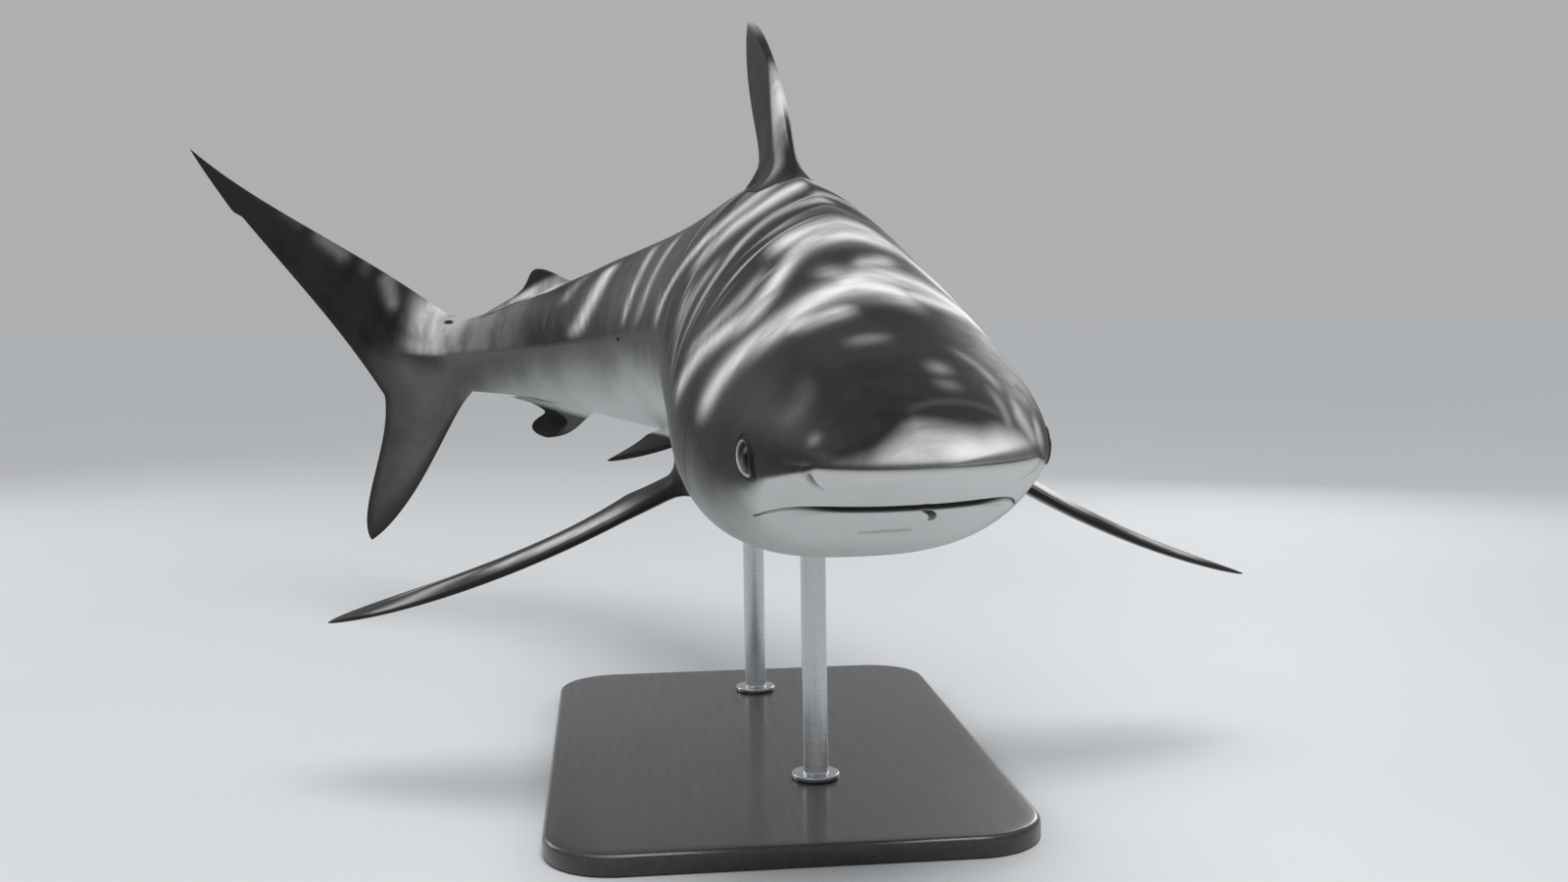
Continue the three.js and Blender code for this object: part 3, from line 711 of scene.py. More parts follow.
class Root:
    """Where a fin's skin leaves the body, and the rings of the fillet between them."""

    def __init__(self, fin):
        self.fin = fin
        n = fin["chords"]
        c = (1 - np.cos(np.linspace(0, np.pi, n + 2))) / 2
        self.chord = np.concatenate([c, c[-2:0:-1]])
        self.face = np.concatenate([[0], np.ones(n), [0], -np.ones(n)])
        self.k = self.leave()
        self.foot = self.at(self.k)
        self.reach = fin["fillet"] * mix(1.25, 0.22, smooth(0.1, 1, self.chord))
        speed = np.linalg.norm(self.at(self.k + 0.01) - self.foot, axis=1) / 0.01
        self.k_fin = self.k + self.reach / speed
        self.skirt = self.spread(self.reach)

    def at(self, k):
        return fin_point(self.fin, k, self.chord, self.face)

    def leave(self):
        """Share of the span at which each line of the fin comes out of the body."""
        steps = np.linspace(0, 0.6, 241)   # shares of the span to try, before halving 24 times
        out = np.stack([outside(self.at(np.full(len(self.chord), k))) > 0 for k in steps])
        first = np.maximum(out.argmax(0), 1)
        low, high = steps[first - 1], steps[first]
        for _ in range(24):
            middle = (low + high) / 2
            is_out = outside(self.at(middle)) > 0
            low, high = np.where(is_out, low, middle), np.where(is_out, middle, high)
        return high

    def spread(self, reach):
        """The foot's ring moved outward over the skin by reach."""
        foot = on_skin(self.foot)
        tangent = np.roll(foot, -1, 0) - np.roll(foot, 1, 0)
        tangent = (np.roll(tangent, -1, 0) + 2 * tangent + np.roll(tangent, 1, 0)) / 4
        nudges = 1e-3 * np.eye(3)
        normal = np.stack([outside(foot + nudge) - outside(foot - nudge) for nudge in nudges], 1)
        away = np.cross(tangent, normal)
        away /= np.linalg.norm(away, axis=1)[:, None]
        if (away * (foot - foot.mean(0))).sum() < 0:
            away = -away
        return on_skin(foot + away * np.broadcast_to(reach, len(foot))[:, None])

    def reverse(self):
        """Makes the root's rings run the other way round."""
        for field in ("chord", "face", "k", "k_fin", "foot", "skirt"):
            setattr(self, field, np.roll(getattr(self, field)[::-1], 1, 0))


def loop_place(points):
    """Rows and columns of the net along a loop on the body's skin, running on past its seam."""
    rows = np.sqrt(points[:, 0]) / ROOT_STEP
    columns = (angle_of(points) / (2 * np.pi) + 0.25) * COLUMNS % COLUMNS
    columns = np.unwrap(columns / COLUMNS * 2 * np.pi) / (2 * np.pi) * COLUMNS
    return np.stack([rows, columns], 1)


def inside_loop(points, loop):
    """Which points lie inside the loop, both in rows and columns."""
    found = np.zeros(len(points), bool)
    for (r0, c0), (r1, c1) in zip(loop, np.roll(loop, -1, 0)):
        crosses = (c0 > points[:, 1]) != (c1 > points[:, 1])
        where = r0 + (points[:, 1] - c0) / (c1 - c0 + 1e-12) * (r1 - r0)
        found ^= crosses & (points[:, 0] < where)
    return found


def hole_cells(root):
    """Cells of the net that the fin and its fillet stand on."""
    ring = loop_place(root.spread(root.reach + HOLE_GAP))
    low, high = np.floor(ring).astype(int).min(0) - 1, np.floor(ring).astype(int).max(0) + 2
    box = np.stack(np.meshgrid(*map(np.arange, low, high), indexing="ij"), -1).reshape(-1, 2)
    inside = box[inside_loop(box + 0.5, ring)]
    passed = [np.floor(mix(ring, np.roll(ring, -1, 0), t)).astype(int) for t in (0, 0.25, 0.5, 0.75)]
    row, column = np.concatenate([inside, *passed]).T
    holes = np.zeros((BODY_ROWS + TAIL_ROWS, COLUMNS), bool)
    holes[row, column % COLUMNS] = True
    return holes


def weave_fin(net, number, root):
    """Adds one fin to the net: its fillet out of the hole's rim, its faces and its tip."""
    fin = root.fin
    facts = dict(fin=number, chord=root.chord, face=root.face)
    rings = []
    for t in np.linspace(0, 1, FILLET_RINGS):
        ring = bezier([root.skirt, root.foot, root.at(root.k_fin)], np.full(len(root.k), t))
        rings.append(net.add(ring, share=root.k * t, **facts))
    end = root.k_fin[fin["chords"] + 1]
    flap = (fin["split"] - end) / (FIN_END - end)
    spread = np.sin(np.linspace(0, 1, fin["spans"])[1:] * np.pi / 2) ** 1.15
    spread[np.abs(spread - flap).argmin()] = flap
    for g in spread:
        k = mix(root.k_fin, FIN_END, g)
        rings.append(net.add(root.at(k), share=k, **facts))
    for a, b in zip(rings, rings[1:]):
        net.faces.extend(np.stack([a, np.roll(a, -1), np.roll(b, -1), b], 1).tolist())
    tip, n = rings[-1].tolist(), len(root.k)
    for j in range(n // 2):
        net.close([tip[j], tip[j + 1], tip[(n - j - 1) % n], tip[(n - j) % n]])
    return rings[0].tolist()


def signed_area(loop):
    x, y = loop[:, 0], loop[:, 1]
    return (x * np.roll(y, -1) - np.roll(x, -1) * y).sum() / 2


def weave_skin():
    """The whole skin as a net."""
    net = Net()
    roots = [Root(fin) for fin in FINS.values()]
    weave_body(net, sum(hole_cells(root) for root in roots) > 0)
    loops = open_loops(net.faces, net.count)
    body = np.concatenate(net.points)
    for number, root in enumerate(roots, 1):
        middle = root.foot.mean(0)
        outer = min(loops, key=lambda loop: np.linalg.norm(body[loop].mean(0) - middle))
        if signed_area(loop_place(body[outer])) * signed_area(loop_place(root.skirt)) < 0:
            root.reverse()
        inner = weave_fin(net, number, root)
        zip_loops(net, outer, inner, np.concatenate(net.points))
    return net


# ---- detail pressed into the skin
def face_normals(points, faces):
    """Direction out of the skin at each point."""
    corners = np.concatenate([[(f[0], a, b) for a, b in zip(f[1:], f[2:])] for f in faces])
    a, b, c = points[corners].transpose(1, 0, 2)
    turned = np.cross(b - a, c - a)
    normals = np.zeros_like(points)
    for corner in corners.T:
        for axis in range(3):
            normals[:, axis] += np.bincount(corner, turned[:, axis], len(points))
    if ((points - points.mean(0)) * normals).sum() < 0:
        normals = -normals
    return normals / np.linalg.norm(normals, axis=1)[:, None]


# How deep the grooves and how high the folds beside them are, in percent of the length.
DEPTH = dict(mouth=0.34, nostril=0.3, gill=0.22, eye=0.62, pit=0.22, stem=0.1, scar=0.05)
RISE = dict(jaw=0.13, nostril=0.035, gill=0.08, lid=0.07, back=0.13, stem=0.16)


def swell(place, end):
    """A groove's strength along its line: full in the middle, faint at the ends."""
    return np.sin(np.pi * np.clip(place, end, 1 - end)) ** 0.5


class Relief:
    """What is raised from the skin or pressed into it, with the painted shade in its hollows and slits,
    and the dark spots and cuts.
    """

    def __init__(self, points, normals):
        self.points = points
        self.normals = normals
        self.height = np.zeros(len(points))
        self.groove = np.zeros(len(points))
        self.lid = np.zeros(len(points))

    def paint_shade_and_marks(self, shade):
        self.groove = np.maximum(self.groove, shade)

    def mouth(self):
        gap, place = near(self.points, MOUTH_LINE)
        t = np.abs(2 * place - 1)
        side = np.clip(np.abs(self.points[:, 1]) / MOUTH["half_width"], 0, 1.2)
        ahead = self.points[:, 0] < mix(MOUTH["front"], MOUTH["corner"], side ** MOUTH["squareness"])
        middle = 1 - t**4
        depth = DEPTH["mouth"] * mix(0.35, 1, middle)
        jaw_lip = RISE["jaw"] * bump(gap - 0.36, 0.26) * middle
        jaw = jaw_lip - depth * (1 - smooth(0.03, 0.08 + 0.18 * middle, gap))
        self.height += np.where(ahead, -depth * (1 - smooth(0, 0.04, gap)), jaw)
        # Painted shade: the closed mouth is painted near black, and in the middle a soft painted shadow
        # falls on the jaw below the upper lip.
        thick = smooth(0.95, 0.45, t)
        shade = 1 - smooth(0.05 + 0.16 * thick, 0.12 + 0.28 * thick, gap)
        shade = np.maximum(shade, 0.45 * thick * smooth(1.0, 0.25, gap))
        self.paint_shade_and_marks(np.where(ahead, 1 - smooth(0, 0.04, gap), shade))

    def nostril(self, sign):
        gap, place = near(self.points, NOSTRILS[sign])
        along = swell(place, 0.04)
        self.height += -DEPTH["nostril"] * bump(gap, 0.12) * along
        self.height += RISE["nostril"] * bump(gap - 0.24, 0.1)
        # Painted shade in the nostril's slit.
        self.paint_shade_and_marks(bump(gap, 0.14) * along)

    def gill(self, line):
        gap, place = near(self.points, line)
        nearest = line[np.rint(place * (len(line) - 1)).astype(int)]
        ahead = self.points[:, 0] < nearest[:, 0]
        along = swell(place, 0.015)
        flap = RISE["gill"] * bump(gap - 0.16, 0.2) - DEPTH["gill"] * (1 - smooth(0, 0.06, gap))
        self.height += along * np.where(ahead, flap, -DEPTH["gill"] * bump(gap, 0.22))
        # Painted shade in the gill slit.
        self.paint_shade_and_marks(0.8 * along * bump(gap, 0.08))

    def eye(self, sign):
        away = eye_radius(self.points, sign)
        below = smooth(0.1, -0.5, self.points[:, 2] - EYE["up"])
        self.height -= DEPTH["eye"] * (1 - smooth(0.82, 0.96, away))
        self.height += RISE["lid"] * bump(away - 1.06, 0.1) - 0.06 * bump(away - 1.34, 0.14)
        self.lid = np.maximum(self.lid, bump(away - 1.0, 0.045 + 0.03 * below))
        # Painted shade in the crease round the lids and in the socket behind the eyeball.
        self.paint_shade_and_marks(0.7 * bump(away - 1.26, 0.1))
        self.paint_shade_and_marks(np.where(away < 0.86, 1, 0))

    def back(self):
        """The pit ahead of the tail fin, and the ridge from one dorsal fin to the other."""
        s, side, up = self.points.T
        away = pit_distance(self.points)
        self.height -= DEPTH["pit"] * bump(away, 0.35)
        # Painted shade in the pit's hollow.
        self.paint_shade_and_marks(bump(away, 0.5))
        ridge = smooth(44.5, 47, s) * (1 - smooth(60, 63, s)) * (up > 0)
        self.height += RISE["back"] * bump(side, 0.17) * ridge

    def tail(self):
        """The stem's muscle, which runs on into the tail's upper lobe and ends in a soft step."""
        gap, place = seen_gap(self.points, STEM_RIDGE)
        fade = smooth(0, 0.25, place) * smooth(1, 0.55, place) * (self.points[:, 0] > TAIL_START)
        step = RISE["stem"] * bump(gap, 0.75) - DEPTH["stem"] * bump(gap - 0.9, 0.5)
        self.height += step * fade

    def scars(self):
        for strength, half, course in SCARS:
            gap, place = scar_gap(self.points, course)
            along = swell(place, 0.06)
            self.height -= DEPTH["scar"] * strength * bump(gap, half) * along
            self.paint_shade_and_marks(strength * smooth(half, 0.6 * half, gap) * along**0.3)

    def spots(self):
        # A small dark spot on the right flank, and painted shade at the two ends of the pit.
        for place, radius in SPOTS:
            self.paint_shade_and_marks(smooth(radius, 0.45 * radius, spot_gap(self.points, place)))

    def press(self):
        """Finds all of it, and returns the points moved by it."""
        self.mouth()
        self.back()
        self.tail()
        self.spots()
        self.scars()
        for sign in SIDES:
            self.nostril(sign)
            self.eye(sign)
        for line in GILL_LINES:
            self.gill(line)
        return self.points + self.normals * self.height[:, None]


# ---- skin markings and painted light
# Height of the edge between the dark back and the pale flank, how soft it is there, and how
# far below it the belly turns white.
DARK_EDGE = [
    (0, 0), (1.5, -0.03), (2.6, -0.06), (3.05, -0.16), (4.65, -0.41), (6.75, -0.77), (8.5, -1.15),
    (10.2, -1.5), (12.3, -1.6), (16, -1.3), (24, -0.6), (34, 0), (45, 0.15), (55, 0), (64, 0),
    (72, 0.2),
]
DARK_SOFT = [
    (0, 0.05), (4, 0.06), (6, 0.12), (9, 0.35), (14, 1), (20, 1.2), (40, 0.8), (50, 0.4), (66, 0.25),
    (72, 0.25),
]
FLANK = [
    (0, 0), (6, 0.02), (9, 0.4), (12, 1.5), (18, 2.9), (30, 3.2), (50, 2.5), (60, 2.2), (68, 2.6),
    (72, 4),
]

# Painted light: pale bands of rippled sunlight across the back: half width, strength, and the band's
# station at some angles round the body, in degrees from the right side (0) to the top (90).
PAINTED_LIGHT_BANDS = [
    (0.85, 1.0, [(13, 14.5), (30, 13.4), (50, 12), (70, 12.2), (90, 12.1), (108, 11)]),
    (0.6, 0.75, [(50, 11.5), (62, 10.7), (82, 10.4)]),
    (0.6, 0.6, [(70, 14.9), (82, 13.7), (98, 12.6)]),
    (0.85, 1.0, [(9, 22), (28, 19), (48, 15.4), (58, 16.3), (67, 18.2), (85, 18.7), (122, 19.5)]),
    (0.5, 0.6, [(20, 22.4), (33, 19.7), (46, 18.2), (58, 18.8)]),
    (0.4, 0.7, [(42, 25.3), (64, 25.4), (82, 24.7), (99, 24.2)]),
    (0.5, 0.6, [(8, 26.2), (28, 27.7), (46, 26.4)]),
    (0.9, 0.9, [(32, 32.5), (50, 30), (64, 28.6), (90, 29.1)]),
    (1.0, 1.0, [(10, 45), (19, 43.2), (28, 39.5), (46, 33.6), (60, 31.5), (80, 32.8)]),
    (0.45, 0.75, [(12, 51.6), (34, 50), (60, 49.2)]),
    (0.3, 0.8, [(12, 54.4), (36, 53.4), (66, 53.5)]),
    (0.5, 1.0, [(7, 61), (30, 59.3), (66, 58.2)]),
]
# The same for smaller marks of painted light, which lie on the right side and round the snout only.
SMALL_LIGHT_MARKS = [
    (0.4, 0.4, [(36, 62.5), (52, 61.8), (70, 61)]),
    (0.15, 0.04, [(74, 1.8), (90, 2.1), (112, 2.3), (135, 2.2), (160, 1.7)]),
    (0.22, 0.3, [(14, 3.0), (29, 3.0)]),
    (0.6, 0.08, [(20, 5.4), (34, 5.0), (52, 6.2)]),
    (0.35, 0.2, [(69, 7.3), (89, 7.1)]),
    (0.4, 0.25, [(94, 4.5), (109, 4.3)]),
    (0.3, 0.15, [(95, 3.4), (112, 3.2)]),
    (0.3, 0.3, [(108, 6.4), (120, 5.4), (132, 4.0)]),
    (0.28, 0.2, [(122, 3.8), (130, 3.1), (137, 2.4), (146, 1.7), (158, 0.9)]),
    (0.35, 0.5, [(136, 3.9), (143, 3.2), (155, 2.7), (166, 2.5), (186, 2.2)]),
    (0.4, 0.7, [(154, 4.0), (164, 3.4), (186, 3.2)]),
    (0.6, 0.1, [(-9, 1.2), (3, 1.6), (9, 2.1), (16, 2.6)]),
]
# The upper edge of the painted highlight on the snout's tip: its height by how far to the side it is.
NOSE_LIGHT = [
    (-3.2, -0.3), (-2.9, 0.1), (-2.6, 0.35), (-2.2, 0.55), (-1.7, 0.65), (-1.2, 0.6), (-0.65, 0.7),
    (0, 0.85), (0.5, 0.9), (0.85, 0.75), (1.3, 0.45), (1.7, 0.15), (2.2, -0.05), (3.3, -0.3),
]
# Streaks of painted light: half width, strength, and both ends. On the paired fins the ends are
# shares of span and chord, on the tail fin stations and heights.
FIN_LIGHT = {
    "pectoral_fin_right": [
        (0.055, 0.75, (0.28, 0.04), (0.46, 0.16)),
        (0.05, 0.8, (0.57, 0.4), (0.8, 0.03)),
        (0.025, 0.5, (0.49, 0.92), (0.62, 0.72)),
    ],
    "pectoral_fin_left": [(0.08, 0.6, (0.6, 0.12), (0.68, 0.06))],
}
TAIL_LIGHT = [
    (0.5, 0.4, (77.7, 5.5), (77.2, 4.0)),
    (0.45, 0.1, (79.2, 6.9), (79.4, 6.4)),
    (0.5, 0.28, (81.1, 7.6), (83.0, 9.0)),
    (0.4, 0.1, (84.6, 9.9), (85.8, 10.8)),
    (0.3, 0.16, (87.4, 12.0), (88.8, 13.0)),
]
BAND_END = 9                           # degrees over which a band fades at its ends
LEFT_SHIFT = 1.3                       # the left side's bands lie this much farther back
# Values well inside the dark skin and well inside the white skin, and the farthest allowed.
DARK, WHITE, STRONGEST = 3, -2.6, 4


def read_off(table, x):
    """Value at x from pairs of place and value."""
    return np.interp(x, *zip(*table))


def painted_light_bands(points):
    """How strongly the pale bands of painted light lie on the back."""
    s = points[:, 0]
    angle = np.degrees(angle_of(points))
    light = np.zeros(len(points))
    for turned, shift, marks in (
        (angle, 0, PAINTED_LIGHT_BANDS + SMALL_LIGHT_MARKS), (180 - angle, LEFT_SHIFT, PAINTED_LIGHT_BANDS),
    ):
        turned = (turned + 90) % 360 - 90
        for width, strength, stations in marks:
            angles, places = zip(*stations)
            across = bump(s - shift - smooth_curve(angles, places)(turned), 1.3 * width)
            start = smooth(angles[0] - 2, angles[0] + BAND_END, turned)
            end = 1 - smooth(angles[-1] - BAND_END, angles[-1] + 2, turned)
            light = np.maximum(light, strength * across * start * end)
    return light


def streaks(flat, marks, shape=(1, 1)):
    """How strongly these streaks of painted light show at points of a plane."""
    light = np.zeros(len(flat))
    for width, strength, *ends in marks:
        gap = near(flat * shape, curve(ends, 9) * shape)[0]
        light = np.maximum(light, strength * bump(gap, width))
    return light


def fin_light(name, share, chord, face):
    """How strongly painted light shows on one fin."""
    if name == "dorsal_fin_first":
        reach = 0.15 * smooth(0.62, 0.3, share)
        light = smooth(reach + 0.03, reach - 0.02, chord) * smooth(0.6, 0.5, share)
        light *= mix(0.45 * smooth(0, 0.1, chord), 1, smooth(0.16, 0.36, share))
        light *= smooth(0, 0.06, share) * np.where(face > 0, 1, smooth(0.26, 0.4, share))
        return np.maximum(0.85 * light, 0.4 * smooth(0.72, 0.95, share))
    if name == "dorsal_fin_second":
        return smooth(0.62, 0.4, share) * bump(chord - 0.45, 0.42) * (face > 0)
    light = streaks(np.stack([share, chord], 1), FIN_LIGHT.get(name, []), (1, 0.5))
    if name == "pectoral_fin_left":
        light = np.maximum(0.95 * smooth(0.46, 0.3, share), light)
    return light * (face > 0)


def light_marks(points, facts):
    """Where painted light lies on the skin: its set bands and patches, and where its finer painted
    ripples may show.
    """
    s, side, up = points.T
    fin, share, chord, face = facts.T
    angle = np.degrees(angle_of(points))
    body = np.where(fin == 0, 1.0, 0.0)
    reach = read_off(NOSE_LIGHT, side)
    # A painted highlight on the snout's tip.
    nose_highlight = smooth(reach + 0.5, reach - 0.4, up) * (angle > 0) * smooth(5, 2, s)
    painted_light = np.maximum(painted_light_bands(points), nose_highlight) * body
    # A faint painted light over the rear back.
    painted_haze = mix(0.11, 0.04, smooth(52, 62, s)) * smooth(36, 48, s) * smooth(0, 8, angle) * body
    painted_light = painted_light + painted_haze * (1 - painted_light)
    painted_ripples = smooth(4, 24, angle) * smooth(176, 156, angle) * smooth(14, 22, s) * body
    painted_ripples = painted_ripples * mix(1, 0.3, smooth(42, 56, s))

    # Painted light: the end of the tail stem and the upper lobe's root are painted as in full light, and
    # painted spots of it follow the upper lobe's front edge.
    stem = 0.28 * smooth(62, 72, s) + 0.75 * bump(s - 74.4 + 0.45 * (up - 1.5), 2.1)
    stem = stem * smooth(-0.1, 0.2, up - 0.15 * (s - 73) * (s > 73))
    stem = stem * smooth(78.4, 75.6, s + 0.4 * up)
    painted_light = np.maximum(painted_light, stem * (fin <= 0))
    painted_light = np.maximum(painted_light, streaks(points[:, [0, 2]], TAIL_LIGHT) * (fin == TAIL))
    for number, name in enumerate(FINS, 1):
        painted_light = np.where(fin == number, fin_light(name, share, chord, face), painted_light)
    return dict(painted_light=painted_light, painted_ripples=painted_ripples)


def fin_colours(name, share, chord, face):
    """How dark one fin is, how far from white its skin is, and how dark its border."""
    if name.startswith(("pectoral", "pelvic")):
        upper = face >= 0
        # The dark front edge on both faces is partly the fins' own dusky edge and partly painted shade
        # along the rounded front; the dark hind edge and tips are the fins' own.
        dark_edge = 5 * bump(chord, 0.06) + 4 * smooth(0.95, 1, chord)
        border = np.maximum(smooth(0.9, 1, share), smooth(0.86, 0.99, chord) * 0.8)
        reach = np.where(upper, 0.012, 0.06)
        front = 1 - smooth(reach, 2.2 * reach, chord)
        border = np.maximum(border, 0.95 * front * (share < 0.995))
        return np.where(upper, DARK, WHITE + dark_edge), np.where(upper, DARK, WHITE), border
    if name == "anal_fin":
        own = mix(-1.5, DARK, smooth(0.3, 0.62, chord + 0.35 * share))
        return own, DARK, smooth(0.45, 0.9, share)
    return DARK, DARK, smooth(0.7, 0.95, share) * (name == "dorsal_fin_second")


def markings_and_painted_light(points, facts):
    """How dark, how far from white and how edged the skin is, from the species' colouring, with painted
    sheen and shade on some fins and the painted light on the back and fins.
    """
    s, _, up = points.T
    fin, share, chord, face = facts.T
    edge, soft = read_off(DARK_EDGE, s), read_off(DARK_SOFT, s)
    dark = np.clip((up - edge) / soft, -2, 2)
    low = np.clip((up - edge + read_off(FLANK, s)) / mix(soft, 1.9, smooth(8, 16, s)), -2, 2)
    margin = np.zeros(len(points))
    apart = outside(points)
    for number, name in enumerate(FINS, 1):
        here = fin == number
        start, full = (-0.15, 0.2) if name.startswith("pectoral") else (0.05, 0.6)
        on_fin = smooth(start, full, apart)
        fin_dark, fin_low, border = fin_colours(name, share, chord, face)
        dark = np.where(here, mix(dark, fin_dark, on_fin), dark)
        low = np.where(here, mix(low, fin_low, on_fin), low)
        margin = np.where(here, border * on_fin, margin)

    # The tail fin: its upper lobe is dark, its lower lobe paler, and its borders are dark.
    tail = fin == TAIL
    spread = smooth(0, 0.25, share) * tail
    lobe = smooth(0.42, 0.62, chord)
    dark = mix(dark, mix(-0.55 + 0.6 * smooth(0.5, 1, share), 1.5, lobe), spread)
    # A pale line of painted sheen below the stem's muscle edge lightens the tail fin's dark skin.
    sheen = bump(seen_gap(points, STEM_SHEEN)[0], 0.8) * smooth(0.75, 0.35, share)
    dark = dark - 1.7 * sheen * smooth(0, 0.12, share) * tail
    low = mix(low, DARK, spread)
    border = np.maximum(1 - smooth(0, 0.09, chord), smooth(0.9, 1, share))
    border = np.maximum(border, smooth(0.55, 1, chord) * smooth(0.35, 1, share))
    # A dark line of painted shade runs along the stem's muscle edge.
    ridge = bump(seen_gap(points, STEM_RIDGE)[0], 0.5) * smooth(0, 0.15, share)
    margin = np.where(tail, np.maximum(border, 0.5 * ridge) * spread, margin)

    # A dark line runs round the snout, above its white underside.
    wide = mix(0.1, 0.28, smooth(150, 176, np.degrees(angle_of(points))))
    outline = bump(up - edge - 0.5 * wide, wide) * (1 - smooth(6, 9, s)) * (fin == 0)
    return dict(
        dark=np.clip(dark, -STRONGEST, STRONGEST), low=np.clip(low, -STRONGEST, STRONGEST),
        margin=np.maximum(margin, 0.95 * outline), **light_marks(points, facts),
    )


# ---- meshes
def add_object(name, data):
    """A new object of the scene that shows this data."""
    made = bpy.data.objects.new(name, data)
    bpy.context.scene.collection.objects.link(made)
    return made


def mesh_piece(name, points, faces, **attributes):
    """A smooth-shaded mesh from points in metres, with these values on its points."""
    mesh = bpy.data.meshes.new(name)
    mesh.from_pydata(np.asarray(points).tolist(), [], faces)
    for key, values in attributes.items():
        values = np.asarray(values, np.float32)
        kind = "FLOAT_VECTOR" if values.ndim == 2 else "FLOAT"
        layer = mesh.attributes.new(key, kind, "POINT")
        layer.data.foreach_set("vector" if values.ndim == 2 else "value", values.ravel())
    mesh.shade_smooth()
    mesh.update()
    return add_object(name, mesh)


def outward(piece):
    """Turns the faces of a closed mesh outward."""
    form = bmesh.new()
    form.from_mesh(piece.data)
    if form.calc_volume(signed=True) < 0:
        bmesh.ops.reverse_faces(form, faces=form.faces)
    form.to_mesh(piece.data)
    form.free()


SHARP = 75                             # degrees between faces past which an edge looks sharp


def make_skin():
    """The shark's skin, in one closed mesh."""
    net = weave_skin()
    points, facts = np.concatenate(net.points), np.concatenate(net.facts)
    relief = Relief(points, face_normals(points, net.faces))
    shaped = relief.press()
    piece = mesh_piece(
        "shark_skin", bend(shaped), net.faces, straight=points * PCT, groove=relief.groove,
        lid=relief.lid, **markings_and_painted_light(points, facts),
    )
    outward(piece)
    piece.data.set_sharp_from_angle(angle=math.radians(SHARP))
    return piece


def ring_faces(rings, around, first=0):
    """Faces between rings of this many points each, numbered from first on."""
    starts = range(first, first + (rings - 1) * around, around)
    corners = [(at + i, at + (i + 1) % around) for at in starts for i in range(around)]
    return [[a, b, b + around, a + around] for a, b in corners]


def make_eye(sign):
    """One eyeball, with its place across the eye and up it on each point."""
    rings, around = 46, 64
    depth = np.linspace(0, np.pi, rings + 2)[1:-1, None]
    turn = np.linspace(0, 2 * np.pi, around, endpoint=False)[None]
    across, high = np.sin(depth) * np.cos(turn), np.sin(depth) * np.sin(turn)
    ball = np.stack([across, np.cos(depth) + 0 * turn, high], -1).reshape(-1, 3)
    ball = np.concatenate([[[0, 1, 0]], ball, [[0, -1, 0]]])
    size = np.array([EYE["long"], EYE["deep"] * sign, EYE["high"]]) * EYE_ROOM
    points = ball * size + [EYE["s"], EYE["side"] * sign, EYE["up"]]
    faces = ring_faces(rings, around, 1)
    last, end = 1 + (rings - 1) * around, len(ball) - 1
    for i in range(around):
        after = (i + 1) % around
        faces += [[0, 1 + after, 1 + i], [end, last + i, last + after]]
    name = "shark_eye_right" if sign > 0 else "shark_eye_left"
    piece = mesh_piece(name, bend(points), faces, gaze=ball)
    outward(piece)
    return piece


def stacked_piece(name, points, around):
    """A closed piece from rings of this many points each, stacked from below to above."""
    last = len(points) - around
    faces = ring_faces(len(points) // around, around)
    faces += [list(range(around))[::-1], list(range(last, len(points)))]
    return mesh_piece(name, points, faces)


def lathe(name, centre, profile, around=72):
    """A round piece about the vertical through centre, from (radius, height) pairs."""
    turn = np.linspace(0, 2 * np.pi, around, endpoint=False)
    points = [
        (centre[0] + r * math.cos(a), centre[1] + r * math.sin(a), z) for r, z in profile for a in turn
    ]
    return stacked_piece(name, points, around)


def make_rod(name, base_top):
    """One stand rod on its small foot ring, up into the belly."""
    low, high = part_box(name)
    centre, radius = (low + high) / 2, (high.x - low.x) / 2
    ring, tall, soft = radius * 1.9, 0.005, 0.0012
    corner = [(math.cos(a), math.sin(a)) for a in np.linspace(0, math.pi / 2, 6)]
    profile = [(ring - 0.001, base_top), (ring, base_top + 0.001)]
    profile += [(ring - soft + soft * c, base_top + tall - soft + soft * q) for c, q in corner]
    profile += [(radius + soft - soft * q, base_top + tall + soft - soft * c) for c, q in corner]
    profile += [(radius, base_top + 0.05), (radius, high.z - 0.01), (radius, high.z + 0.004)]
    return lathe("shark_" + name, centre, profile)


def make_base():
    """The stand's flat base: a plate with round corners and a soft upper edge."""
    low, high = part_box("stand_base")
    half = (high - low) / 2
    corner, soft, steps = 0.06, 0.005, 14
    profile = [(0.002, low.z), (0.0, low.z + 0.002)]
    for a in np.linspace(0, math.pi / 2, 7):
        profile.append((soft - soft * math.cos(a), high.z - soft + soft * math.sin(a)))
    profile.append((0.014, high.z))
    outline = []
    for quarter, (x, y) in enumerate(((1, 1), (-1, 1), (-1, -1), (1, -1))):
        for i in range(steps):
            a = (quarter + i / (steps - 1)) * math.pi / 2
            outline.append((x * (half.x - corner), y * (half.y - corner), math.cos(a), math.sin(a)))
    points = [
        (x + (corner - inset) * c, y + (corner - inset) * q, z)
        for inset, z in profile
        for x, y, c, q in outline
    ]
    return stacked_piece("shark_stand_base", points, len(outline))


